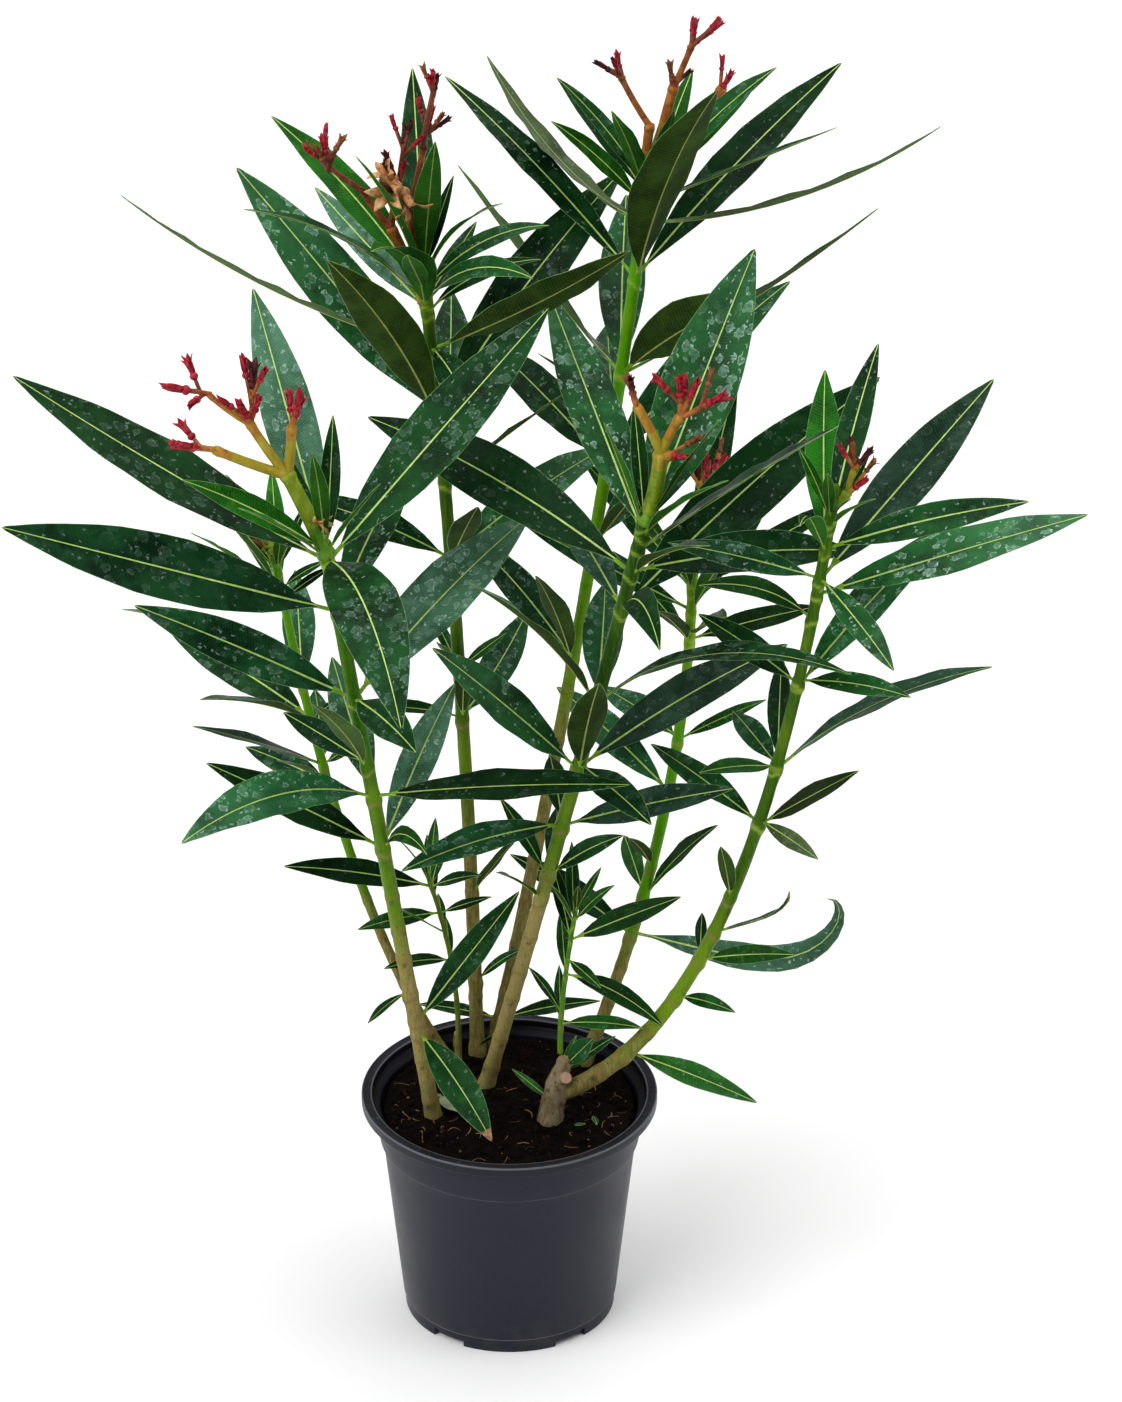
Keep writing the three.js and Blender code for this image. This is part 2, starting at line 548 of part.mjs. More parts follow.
// the stump: a short trunk with a broken top and a cut stub on its side
const sill = SOIL + GAP;
const splitOf = (cane) => (cane.clear ? atHeight(cane, SOIL + cane.clear) : 0);
const widened = (cane) => ({ ...cane, r: cane.r.map((v) => v + GAP + 0.1) });
const stumpCane = CANES.stump;
const stumpSolid = (cane) => caneSolid(cane, -0.15, 1, 5, 10);
const boughSolid = (name, cane) => caneSolid(cane, name === "right" ? -0.03 : -0.12, splitOf(cane), 10, 12);
let stump = stumpSolid(stumpCane);
stump = stump.add(straight([30, -13, 163], [34.5, -21.5, 169], 4.2, 3.2, 8));
stump = stump.trimByPlane([0, 0, 1], sill).trimByPlane([0.35, -0.1, -1], -CANES.stump.tip[2] + 12);
addNode("stump", biggest(stump), BARK, 0.8);

const leaves = grow();
const heads = flowerHeads();
for (const [name, cane] of Object.entries(CANES)) {
  if (name === "stump") continue;
  const young = name.startsWith("young");
  const split = splitOf(cane);
  if (!young) {
    let bough = boughSolid(name, cane);
    if (name === "right") {
      bough = biggest(bough.subtract(stumpSolid(widened(stumpCane))));
    }
    addNode("stem_" + name, biggest(bough.trimByPlane([0, 0, 1], sill)), BARK, 0.7);
  }
  // the mass: the leafy end of the cane, its leaves and its flower head in one solid
  const gapShare = young ? 0 : (1.1 * GAP) / Math.hypot(...add(cane.tip, cane.foot, -1));
  let mass = caneSolid(cane, split + gapShare, 1, young ? 5 : 7, 7);
  const own = leaves.filter((leaf) => leaf.mass === name && leaf.height >= cane.clear);
  const parts = [mass, ...own.map(leafSolid)];
  for (const piece of heads.filter((head) => head.mass === name)) parts.push(...stalkSolids(piece));
  mass = Manifold.union(parts);
  if (young) mass = mass.trimByPlane([0, 0, 1], (name === "young_right" ? stumpCane.tip[2] : SOIL) + GAP);
  addNode("foliage_" + name, biggest(mass), GREEN, 0.6);
}
// single leaves below the masses, each just clear of its cane
const lowest = leaves.filter((leaf) => leaf.height < CANES[leaf.mass].clear);
const count = {};
for (const leaf of lowest) {
  count[leaf.mass] = (count[leaf.mass] ?? 0) + 1;
  const wide = widened(CANES[leaf.mass]);
  const round = leaf.mass === "stump" ? stumpSolid(wide) : boughSolid(leaf.mass, wide);
  addNode("low_leaf_" + leaf.mass + "_" + count[leaf.mass], biggest(leafSolid(leaf).subtract(round)), GREEN, 0.6);
}

export default plant;
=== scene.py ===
# Potted oleander in a black nursery pot: canes, leaves, flower stalks, soil and pot.
# The tables are millimetres and degrees, origin at the centre of the pot's underside, +Z up, +Y away.
import math

import bpy
import numpy as np
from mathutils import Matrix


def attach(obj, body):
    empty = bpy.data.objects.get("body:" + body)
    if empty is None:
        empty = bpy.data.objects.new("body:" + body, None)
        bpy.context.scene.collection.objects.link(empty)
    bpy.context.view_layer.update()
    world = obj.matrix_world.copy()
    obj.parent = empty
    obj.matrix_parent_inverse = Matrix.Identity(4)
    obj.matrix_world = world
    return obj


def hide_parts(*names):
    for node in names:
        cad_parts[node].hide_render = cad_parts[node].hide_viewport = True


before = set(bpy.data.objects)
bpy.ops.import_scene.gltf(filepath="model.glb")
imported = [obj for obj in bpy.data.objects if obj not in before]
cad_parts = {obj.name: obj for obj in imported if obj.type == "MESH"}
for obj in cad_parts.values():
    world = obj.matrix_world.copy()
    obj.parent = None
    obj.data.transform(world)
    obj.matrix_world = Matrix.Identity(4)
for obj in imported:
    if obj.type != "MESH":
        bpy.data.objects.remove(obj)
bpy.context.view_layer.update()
print("frame loaded:", len(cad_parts), "nodes")

mm = 0.001
soilTop = 138.0
latticeSize = 256


# number helpers

def paint(code):
    # linear colour of a screen colour c from 0 to 1: ((c + 0.055) / 1.055) ^ 2.4, or c / 12.92 when very dark
    screen = np.array([int(code[i:i + 2], 16) for i in (1, 3, 5)]) / 255
    linear = np.where(screen > 0.04045, ((screen + 0.055) / 1.055) ** 2.4, screen / 12.92)
    return (*linear.tolist(), 1.0)


def heading(azimuth, rise):
    # unit direction: (cos rise cos azimuth, cos rise sin azimuth, sin rise)
    a, e = math.radians(azimuth), math.radians(rise)
    return np.array([math.cos(e) * math.cos(a), math.cos(e) * math.sin(a), math.sin(e)])


def lattice(x, y, cell, seed, wrap=latticeSize):
    # smooth noise from -1 to 1: random values on a square lattice of that cell, blended by 3 t^2 - 2 t^3;
    # x repeats after wrap cells
    numbers = np.random.default_rng(seed).uniform(-1, 1, (latticeSize, latticeSize))
    u, v = np.asarray(x) / cell, np.asarray(y) / cell
    i, j = np.floor(u).astype(int), np.floor(v).astype(int)
    fu, fv = u - i, v - j
    fu, fv = fu * fu * (3 - 2 * fu), fv * fv * (3 - 2 * fv)
    near, far, low, high = i % wrap, (i + 1) % wrap, j % latticeSize, (j + 1) % latticeSize
    bottom = numbers[near, low] * (1 - fu) + numbers[far, low] * fu
    top = numbers[near, high] * (1 - fu) + numbers[far, high] * fu
    return bottom * (1 - fv) + top * fv


def bump(x, centre, width):
    # exp(-((x - centre) / width)^2)
    return np.exp(-((np.asarray(x) - centre) / width) ** 2)


# mesh helpers: a shell is a set of points with quads and triangles, each with the number of its material

def gridShell(points, slots=0, uv=None, values=None, tips=(None, None)):
    # a closed grid: point (row, column) has number row * columns + column, the last column joins the first,
    # and each end is closed by a fan of triangles to its middle, or to the tip that is given
    rows, columns = points.shape[:2]
    count = rows * columns
    here = np.arange(count).reshape(rows, columns)
    after = np.roll(here, -1, 1)
    slotGrid = np.broadcast_to(slots, (rows - 1, columns))
    middles = [points[row].mean(0) if tip is None else tip for row, tip in zip((0, -1), tips)]
    uv = np.zeros((rows, columns, 2)) if uv is None else uv
    grids = {name: np.broadcast_to(grid, (rows, columns)) for name, grid in (values or {}).items()}
    ended = lambda grid: np.concatenate([grid.reshape(count, *grid.shape[2:]), grid[[0, -1]].mean(1)])
    fans = [(np.full(columns, count), after[0], here[0]), (np.full(columns, count + 1), here[-1], after[-1])]
    return {
        "points": np.concatenate([points.reshape(-1, 3), middles]),
        "uv": ended(uv), "values": {name: ended(grid) for name, grid in grids.items()},
        "quads": np.stack([here[:-1], after[:-1], after[1:], here[1:]], -1).reshape(-1, 4),
        "quadSlots": slotGrid.ravel(),
        "triangles": np.concatenate([np.stack(fan, 1) for fan in fans]),
        "triangleSlots": slotGrid[[0, -1]].ravel(),
    }


def makePiece(name, shells, materials, replaced=()):
    # joins shells into one mesh: each shell's numbers are moved up by the points that come before it
    joined = lambda key: np.concatenate([shell[key] for shell in shells])
    starts = np.cumsum([0] + [len(shell["points"]) for shell in shells[:-1]])
    quads, triangles = (np.concatenate([shell[key] + start for shell, start in zip(shells, starts)])
                        for key in ("quads", "triangles"))
    points, corners = joined("points") * mm, np.concatenate([quads.ravel(), triangles.ravel()])
    sizes = np.repeat([4, 3], [len(quads), len(triangles)])
    mesh = bpy.data.meshes.new(name)
    mesh.vertices.add(len(points))
    mesh.vertices.foreach_set("co", points.ravel())
    mesh.loops.add(len(corners))
    mesh.loops.foreach_set("vertex_index", corners)
    mesh.polygons.add(len(sizes))
    mesh.polygons.foreach_set("loop_start", np.cumsum(sizes) - sizes)
    for material in materials:
        mesh.materials.append(material)
    slots = np.concatenate([joined("quadSlots"), joined("triangleSlots")])
    mesh.polygons.foreach_set("material_index", slots.astype(np.int32))
    mesh.polygons.foreach_set("use_smooth", np.ones(len(sizes), bool))
    mesh.update(calc_edges=True)
    mesh.uv_layers.new(name="spread").data.foreach_set("uv", joined("uv")[corners].ravel())
    for value in shells[0]["values"]:
        column = np.concatenate([shell["values"][value] for shell in shells]).astype(np.float32)
        mesh.attributes.new(value, "FLOAT", "POINT").data.foreach_set("value", column)
    mesh.validate()
    piece = bpy.data.objects.new(name, mesh)
    bpy.context.scene.collection.objects.link(piece)
    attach(piece, "root")
    if replaced:
        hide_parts(*replaced)
    print("made", name, len(points), "points,", len(quads) * 2 + len(triangles), "triangles")


def frameAlong(line):
    # side = the line's direction x the axis it leans on least, over = the direction x side
    ahead = np.gradient(line, axis=0)
    ahead /= np.linalg.norm(ahead, axis=1)[:, None]
    axis = np.zeros(3)
    axis[np.argmin(np.abs(ahead.mean(0)))] = 1
    side = np.cross(ahead, axis)
    side /= np.linalg.norm(side, axis=1)[:, None]
    return side, np.cross(ahead, side)


def tubeShell(line, radii, columns, slots=0, values=None):
    # centre(row) + radius(row, column) (cos(angle) side(row) + sin(angle) over(row)), closed at both ends
    side, over = frameAlong(line)
    angle = np.arange(columns) * 2 * math.pi / columns
    radii = np.broadcast_to(np.asarray(radii, float).reshape(len(line), -1), (len(line), columns))
    ring = np.cos(angle)[None, :, None] * side[:, None] + np.sin(angle)[None, :, None] * over[:, None]
    return gridShell(line[:, None] + radii[:, :, None] * ring, slots, None, values)


# material helpers

def addNode(tree, kind, inputs=None, **settings):
    # one shader node: settings are its properties, inputs its sockets, each a value or another node's output
    node = tree.nodes.new("ShaderNode" + kind)
    for name, value in settings.items():
        setattr(node, name, value)
    for name, value in (inputs or {}).items():
        if isinstance(value, bpy.types.NodeSocket):
            tree.links.new(value, node.inputs[name])
        else:
            node.inputs[name].default_value = value
    return node


def newMaterial(name, **sockets):
    # a material, its tree, its shader with constants on its own sockets, and the place in object coordinates
    material = bpy.data.materials.new(name)
    material.use_nodes = True
    tree = material.node_tree
    shader = tree.nodes["Principled BSDF"]
    for socket, value in sockets.items():
        shader.inputs[socket.replace("_", " ")].default_value = value
    return material, tree, shader, addNode(tree, "TexCoord").outputs["Object"]


def wire(tree, shader, colour, normal=None, rough=None):
    # plugs colour, normal and roughness into the shader
    for socket, output in (("Base Color", colour), ("Normal", normal), ("Roughness", rough)):
        if output is not None:
            tree.links.new(output, shader.inputs[socket])


def stretched(tree, source, scale):
    # the place times the scale, axis by axis
    return addNode(tree, "Mapping", {"Vector": source, "Scale": scale}).outputs["Vector"]


def attribute(tree, name):
    # a value that is stored at the mesh's points
    return addNode(tree, "Attribute", attribute_name=name).outputs["Fac"]


def noise(tree, source, scale, detail=2.0, rough=0.5, warp=0.0):
    # soft random clouds about a middle of 0.5
    inputs = {"Vector": source, "Scale": scale, "Detail": detail, "Roughness": rough, "Distortion": warp}
    return addNode(tree, "TexNoise", inputs).outputs["Fac"]


def reckon(tree, kind, first, second=0.0, third=0.0):
    # one step of arithmetic, such as first second + third
    return addNode(tree, "Math", {0: first, 1: second, 2: third}, operation=kind).outputs[0]


def product(tree, first, *others):
    # the first value times each of the others
    for other in others:
        first = reckon(tree, "MULTIPLY", first, other)
    return first


def ranged(tree, value, low, high, least=0.0, most=1.0, ease="SMOOTHSTEP"):
    # value from low to high becomes least to most, held at both ends
    inputs = {"Value": value, "From Min": low, "From Max": high, "To Min": least, "To Max": most}
    return addNode(tree, "MapRange", inputs, interpolation_type=ease).outputs["Result"]


def nearEdge(tree, value, edge, inner, outer):
    # 1 within inner of the edge, falling to 0 at outer
    away = reckon(tree, "ABSOLUTE", reckon(tree, "SUBTRACT", value, edge))
    return ranged(tree, away, inner, outer, 1, 0)


def clouds(tree, source, scale, detail, low, high, least=0.0, most=1.0, rough=0.5):
    # least to most as a noise of that scale goes from low to high
    return ranged(tree, noise(tree, source, scale, detail, rough), low, high, least, most)


def cells(tree, source, scale, **settings):
    # rounded cells: the distance from a cell's middle, and a random colour for each cell
    return addNode(tree, "TexVoronoi", {"Vector": source, "Scale": scale}, **settings).outputs


def mixed(tree, share, first, second, kind="MIX"):
    # first (1 - share) + second share, or another kind of blend
    return addNode(tree, "Mix", {0: share, 6: first, 7: second}, data_type="RGBA", blend_type=kind).outputs[2]


def tinted(tree, colour, share, code):
    # the paint laid over a colour, or over another paint, by that share
    return mixed(tree, share, paint(colour) if isinstance(colour, str) else colour, paint(code))


def relief(tree, height, strength, distance, under=None):
    # the normal, or the one under it, tilted by the slope of height distance
    inputs = {"Height": height, "Strength": strength, "Distance": distance}
    if under is not None:
        inputs["Normal"] = under
    return addNode(tree, "Bump", inputs).outputs["Normal"]


# the plant's rule: canes, whorls of leaves and flower stalks, as in the part's source

# foot, knee and tip of each cane, its radius r at foot and tip, and clear, the height of its bare part;
# for the bark: woodTo, the height where wood turns green, the green skin at the top and lower down,
# and on some how pale the wood is, how slim the cane is drawn and how much stouter its foot
canes = {
    "front_left": {
        "foot": (-46, -14, soilTop), "knee": (-76, -50, 360), "tip": (-106, -80, 572), "r": (5.2, 4.2),
        "clear": 200, "woodTo": 135, "green": "#2a6408", "lower": "#5a7c0c", "pale": 0.25},
    "far_left": {
        "foot": (-40, 58, soilTop), "knee": (-103, 82, 235), "tip": (-140, 98, 460), "r": (3.6, 2.8),
        "clear": 168, "woodTo": 90, "green": "#58a010", "lower": "#4c780e"},
    "centre_left": {
        "foot": (-20, 63, soilTop), "knee": (-25, 87, 394), "tip": (-50, 103, 650), "r": (4.6, 4.0),
        "clear": 102, "woodTo": 150, "green": "#24500a", "lower": "#3f5c0a"},
    "centre_back": {
        "foot": (-10, 69, soilTop), "knee": (49, 104, 415), "tip": (82, 136, 690), "r": (4.4, 4.0),
        "clear": 246, "woodTo": 215, "green": "#529e04", "lower": "#62801a"},
    "front_centre": {
        "foot": (-14, 25, soilTop), "knee": (38, -14, 359), "tip": (82, -52, 577), "r": (5.0, 4.4),
        "clear": 140, "woodTo": 158, "green": "#1c4a08", "lower": "#567c0c", "pale": 0.5},
    "right_back": {
        "foot": (46, 50, soilTop), "knee": (109, 89, 291), "tip": (111, 112, 450), "r": (4.4, 3.2),
        "clear": 72, "woodTo": 75, "green": "#4c9404", "lower": "#4f9004"},
    "right": {
        "foot": (36, -13, 157), "knee": (148, -36, 225), "tip": (191, -60, 598), "r": (5.4, 3.8),
        "clear": 115, "woodTo": 60, "green": "#305c06", "lower": "#6a8c12", "slim": 0.86, "stout": 0.3},
    "young_right": {
        "foot": (31, -8, 181), "knee": (30, -6, 215), "tip": (42, 2, 285), "r": (1.9, 1.3),
        "clear": 0, "woodTo": -50, "green": "#3f7a1c", "lower": "#4f8416"},
    "young_left": {
        "foot": (-32, 48, soilTop), "knee": (-28, 52, 200), "tip": (-50, 42, 277), "r": (1.9, 1.4),
        "clear": 0, "woodTo": 20, "green": "#3c6a1c", "lower": "#4a6416"},
    "stump": {
        "foot": (25, -15, soilTop), "knee": (29, -14, 160), "tip": (34, -11, 180), "r": (6.8, 4.2),
        "clear": 0, "woodTo": 900, "green": "#7a6248", "lower": "#7a6248"},
}
# height above the soil, azimuth of the first leaf, then each leaf of the whorl:
# length, rise, swing away from its third of the turn
whorls = {
    "front_left": [
        (67, 308, [(85, -27)]), (76, 20, [(98, 36)]), (98, 200, [(30, -35)]),
        (210, 65, [(120, 27), (120, 32), (62, 22)]), (248, 100, [(130, 10), (158, 11), (160, 12)]),
        (271, 245, [(105, 48), 0, (90, -5)]), (320, 50, [(165, 21), (138, 22), (120, 13)]),
        (384, 196, [(213, 23), 0, (140, 10)]), (420, 45, [(205, 29), (210, 27), (190, -4, 3)]),
        (424, 110, [(172, 39), (95, 40), 0]), (428, 200, [(105, 36), (70, 55), (78, 55)]),
        (431, 260, [(78, 72), 0, (62, 60)]),
    ],
    "far_left": [
        (176, 245, [(80, 38), 0, (90, -10)]), (190, 210, [(100, 30), (40, 40), (90, 0)]),
        (220, 130, [(130, 3), (122, 30, -15), (25, 30)]), (242, 215, [(155, 36), 0, (110, 10)]),
        (299, 110, [(115, 14), (105, 45), (40, 40)]), (306, 215, [(110, 55), (40, 40), (85, 30)]),
        (318, 160, [(60, 45), (50, 60), (45, 60)]),
    ],
    "centre_left": [
        (5, 298, [(50, 38)]), (49, 343, [(40, 43)]), (109, 314, [(70, 54)]),
        (225, 65, [(110, 9), (60, 10), (60, 61, -30)]), (258, 0, [(35, 40), (45, 30), (40, 50)]),
        (330, 165, [(100, 20), (100, 40), (140, 10)]), (380, 90, [(170, 15), 0, (115, 45)]),
        (423, 45, [(190, 35), (195, 35, -25), (170, 56, -55)]),
        (467, 278, [(95, -5, 12), (160, 36, -63), (207, 23, 5)]),
        (491, 128, [(130, 12), (110, 45), (75, 25)]), (498, 190, [(130, 33), (110, 28), (66, 21, -13)]),
        (505, 141, [(140, 34), (90, 40), (85, 22)]), (512, 96, [(140, 36), (105, 64), (80, 50)]),
        (517, 160, [(70, 60), (100, 76, 15), (60, 70)]),
    ],
    "centre_back": [
        (18, 15, [(62, 3), (50, 3, 30)]), (255, 245, [(100, 58), 0, (110, 20)]),
        (330, 60, [(120, 10), (130, 20), (100, 50)]), (380, 45, [(165, 26), (140, 10, -45), 0]),
        (410, 215, [(80, 48), 0, (120, 0)]), (438, 92, [(160, 15), (190, 20, -91), (187, 36, 30)]),
        (440, 330, [(125, 40)]), (499, 45, [(189, 27, -4), (190, 20, -40), (180, 62, 15)]),
        (533, 15, [(190, 14), (158, 16, -4), 0]), (545, 75, [(105, 25), (85, 48), (122, 23, 45)]),
        (551, 15, [(115, 41), (88, 38), (100, 55)]), (557, 60, [(92, 40, -40), (80, 52), (75, 62)]),
    ],
    "front_centre": [
        (148, 237, [(60, 41), 0, 0]), (167, 323, [(70, 40), (60, 10), (58, 62, -23)]),
        (204, 335, [(120, 25), (80, 0), (108, 6, -18)]), (248, 35, [(155, 13), (140, 48, 50), (125, 66)]),
        (250, 291, [(110, 9)]), (299, 335, [(175, 18), (130, 10), (140, 50)]),
        (367, 33, [(210, 27), (120, 6, -40), (110, 15, 9)]),
        (394, 27, [(140, -5), (198, 12), (110, 34, 30)]), (412, 335, [(165, 41)]),
        (423, 57, [(180, 47), (180, 26, -70), (120, 40)]), (430, 100, [(70, 60), (80, 70), (90, 60)]),
    ],
    "right_back": [
        (80, 32, [(188, 5), (90, 20), 0]), (105, 340, [(80, 52), (70, 0)]), (124, 250, [(60, 45)]),
        (170, 127, [(120, 8)]), (203, 117, [(100, -8), 0, (60, 30)]),
        (266, 250, [(85, 40), (80, 10), (80, 20)]), (271, 290, [(90, 34)]),
        (285, 60, [(120, 20), (110, 30), (100, 50)]), (298, 10, [(110, 30), (110, 40), (90, 50)]),
        (304, 70, [(125, 55), (90, 50), (80, 60)]),
    ],
    "right": [
        (50, 345, [(82, -17)]), (95, 310, [(50, 12)]), (123, 331, [(68, 20), (40, 10), 0]),
        (144, 330, [(68, 42)]), (170, 260, [(60, 60)]), (223, 342, [(75, 38), (100, 5, 26), 0]),
        (225, 302, [(60, 3)]), (264, 347, [(152, 33), (90, -8), (72, 20)]), (266, 90, [(80, 22)]),
        (322, 10, [(130, 40, 20), (90, 5), 0]), (325, 326, [(80, 11)]), (369, 204, [(80, 26)]),
        (385, 5, [(163, 16)]), (396, 297, [(100, -6), (160, 31, -18), (90, 10)]),
        (417, 345, [(125, 20), (113, 38, -15), (90, 36, 30)]),
        (433, 92, [(121, 35, -17), (60, 40, 90), (118, 76, 5)]), (438, 20, [(45, 60), (45, 60), (50, 60)]),
    ],
    "young_right": [
        (62, 330, [(60, 15), (40, 30), 0]), (70, 165, [(35, 55)]), (95, 335, [(70, -15), (45, 30), 0]),
        (105, 296, [(45, 5)]), (118, 350, [(75, 28), (50, 50), 0]),
        (130, 100, [(48, 60), (40, 60), (40, 50)]), (137, 40, [(30, 50), (35, 60), (30, 60)]),
    ],
    "young_left": [
        (74, 217, [(50, 12), 0, (30, 30)]), (95, 219, [(50, 40), 0, (30, 20)]),
        (109, 218, [(60, 8), (40, 30)]), (120, 100, [(50, 20), 0, 0]),
        (129, 200, [(97, 18), (45, 30), (45, 10)]), (134, 80, [(40, 40), (35, 60)]),
    ],
    "stump": [
        (12, 150, [(30, 25)]), (24, 40, [(30, 35)]), (30, 30, [(40, 20)]), (36, 345, [(28, 52)]),
    ],
}
# leaves that are set apart: how far they bend down and how late, their roll, how broad they are
oddLeaves = {
    "front_left": {
        (67, 0): {"bend": 20, "broad": 1.4, "roll": 30}, (98, 0): {"broad": 1.7, "roll": 0, "bend": 30},
        (210, 2): {"bend": 80}, (248, 1): {"bend": 45}, (248, 2): {"bend": 10, "roll": 8},
        (320, 0): {"broad": 1.3}, (384, 0): {"bend": 0}, (420, 1): {"bend": -4},
        (420, 2): {"bend": 60, "broad": 1.2},
    },
    "far_left": {
        (190, 0): {"roll": 0}, (220, 1): {"roll": 8}, (242, 0): {"roll": 10, "bend": 25},
    },
    "centre_left": {
        (225, 0): {"bend": -10}, (423, 2): {"roll": 38, "broad": 1.1}, (467, 0): {"bend": 30, "broad": 1.2},
        (467, 1): {"roll": -52, "bend": -10}, (467, 2): {"roll": 33, "bend": -30},
        (491, 1): {"bend": 70, "broad": 1.5}, (491, 2): {"bend": 50, "broad": 0.8},
        (498, 0): {"roll": 10, "bend": 40}, (498, 1): {"bend": 55, "broad": 0.8},
        (505, 2): {"bend": 60, "broad": 0.8}, (512, 2): {"bend": 50, "broad": 0.8}, (517, 1): {"broad": 1},
    },
    "centre_back": {
        (438, 1): {"roll": 58, "bend": -15}, (438, 2): {"roll": -25, "bend": -12},
        (440, 0): {"roll": -60, "broad": 1.6}, (499, 0): {"broad": 0.75},
        (499, 1): {"broad": 0.55, "roll": -10, "bend": 8}, (499, 2): {"broad": 1.25, "roll": 0},
        (533, 0): {"roll": -32, "bend": -38}, (533, 1): {"roll": 32, "bend": -50},
        (545, 2): {"roll": -20, "bend": 0}, (557, 0): {"broad": 1.15},
    },
    "front_centre": {
        (299, 0): {"bend": 60, "roll": 0, "broad": 0.75}, (367, 2): {"bend": 70}, (412, 0): {"roll": 0},
        (423, 0): {"broad": 1.3},
    },
    "right_back": {
        (80, 0): {"bend": -200, "curl": 5, "roll": 45, "broad": 0.55}, (105, 0): {"roll": 35},
        (271, 0): {"roll": 35, "broad": 1.2},
    },
    "right": {
        (144, 0): {"curl": 5, "bend": -70}, (223, 0): {"broad": 1.2}, (264, 0): {"roll": 0, "bend": 30},
        (369, 0): {"bend": 50}, (417, 1): {"broad": 1.15}, (417, 2): {"curl": 4, "bend": 60},
        (433, 0): {"broad": 0.8},
    },
    "young_right": {
        (95, 0): {"bend": 40},
    },
    "stump": {
        (36, 0): {"broad": 2.6},
    },
}
# flower heads: each piece grows from the end of the piece it names, -1 being the cane: azimuth, rise, length
flowerHeads = {
    "front_left": {"r": 4.2, "drop": 6, "stalks": [
        (-1, 180, 67, 53), (0, 180, 58, 40), (0, 190, 26, 46), (2, 170, 3, 18), (1, 180, 39, 30),
        (4, 190, 17, 18), (1, 60, 82, 28), (0, 0, 85, 31), (7, 20, 72, 12), (1, 240, 60, 11)]},
    "far_left": {"r": 1.8, "drop": 6, "stalks": [
        (-1, 150, 70, 12), (0, 180, 50, 6), (0, 20, 60, 8), (0, 260, 40, 8)]},
    "centre_left": {"r": 2.5, "drop": 14, "stalks": [
        (-1, 180, 68, 50), (0, 180, 56, 30), (1, 185, 40, 27), (2, 175, 46, 12), (0, 20, 80, 29),
        (4, 40, 80, 30), (-1, 150, 84, 63), (6, 0, 80, 37), (7, 10, 80, 41), (7, 60, 66, 16),
        (4, 200, 60, 11), (2, 120, 70, 11)]},
    "centre_back": {"r": 2.4, "drop": 14, "stalks": [
        (-1, 60, 86, 56), (0, 180, 62, 36), (1, 190, 37, 13), (1, 150, 78, 10), (-1, 20, 78, 82),
        (4, 0, 69, 28), (5, 350, 44, 19), (5, 30, 78, 12), (4, 200, 80, 11), (-1, 10, 60, 95)]},
    "front_centre": {"r": 4.2, "drop": 5, "stalks": [
        (-1, 0, 80, 42), (0, 180, 66, 34), (1, 170, 74, 13), (0, 0, 66, 27), (3, 90, 86, 18),
        (3, 10, 65, 19), (3, 350, 32, 24), (0, 330, 10, 13)]},
    "right_back": {"r": 2.6, "drop": 4, "stalks": [
        (-1, 0, 85, 51), (0, 0, 64, 24), (0, 150, 80, 17), (0, 40, 30, 11)]},
    "right": {"r": 2.8, "drop": 12, "stalks": [
        (-1, 0, 43, 9), (0, 0, 77, 15), (1, 0, 55, 10), (0, 350, 43, 9), (1, 90, 80, 8)]},
}
# how leaves and stalks grow from the tables
growth = {
    "seed": 20269, "whorlTurn": 120, "seat": 0.5, "ratio": 0.185, "fold": 0.18, "bend": 12,
    # how far the dice move a leaf's azimuth, roll, bend, share of the turn to the light, width, sway and fold
    "shakes": {"az": 3, "roll": 6, "bend": 10, "light": 0.25, "ratio": 0.012, "sway": 0.04, "fold": 0.08},
    "light": (0, -0.87, 0.49), "toLight": 0.62, "mostRoll": 60, "leastFacing": 0.05,
    "topWithin": 35, "topShorter": 145, "topBroad": 0.8,
    "stalkTaper": 0.62, "thinnest": 1.3, "flare": 1.2, "flareFade": 8,
    # small turns and lifts tried in order when a leaf would touch something
    "nudges": [(0, 0), (6, 0), (-6, 0), (0, 6), (0, -6), (9, 7), (-9, 7), (9, -7), (-9, -7),
               (14, 0), (-14, 0), (0, 13), (0, -13), (20, 8), (-20, 8)],
}
# the nearest a blade may come to a cane, a flower stalk or a leaf of its own mass, and to those of others;
# the length along the blade from which its own mass counts, and the margin round a leaf's box;
# the height over soil and rim, with the distances from the pot's axis that it holds between
clearances = {
    "cane": (1.5, 2.5), "twig": (2.5, 6.5), "leaf": (3.0, 7.5),
    "caneFrom": 13, "twigFrom": 20, "leafFrom": 26, "box": 8,
    "soil": (soilTop + 3, -1, 96), "rim": (148 + 3.5, 77, 95),
}
# the blade's outline: where it starts, the two powers of its formula and its least half width; the steps
# that the midrib is summed in, the share in which it takes up its roll, and the rows tested for touch
bladeRule = {"start": 0.05, "skew": 0.92, "full": 0.85, "least": 0.08, "steps": 24, "rollBy": 0.2, "rows": 30}
upward = np.array([0, 0, 1.0])


def dice(seed):
    # numbers from -1 to 1: seed = 16807 seed modulo 2^31 - 1
    factor, modulus = 16807, 2 ** 31 - 1
    while True:
        seed = seed * factor % modulus
        yield seed / modulus * 2 - 1


def along(cane, t):
    # (1 - t)^2 foot + 2 t (1 - t) knee + t^2 tip
    t = np.asarray(t, float)[..., None]
    foot, knee, tip = (np.array(cane[place], float) for place in ("foot", "knee", "tip"))
    return (1 - t) ** 2 * foot + 2 * t * (1 - t) * knee + t ** 2 * tip


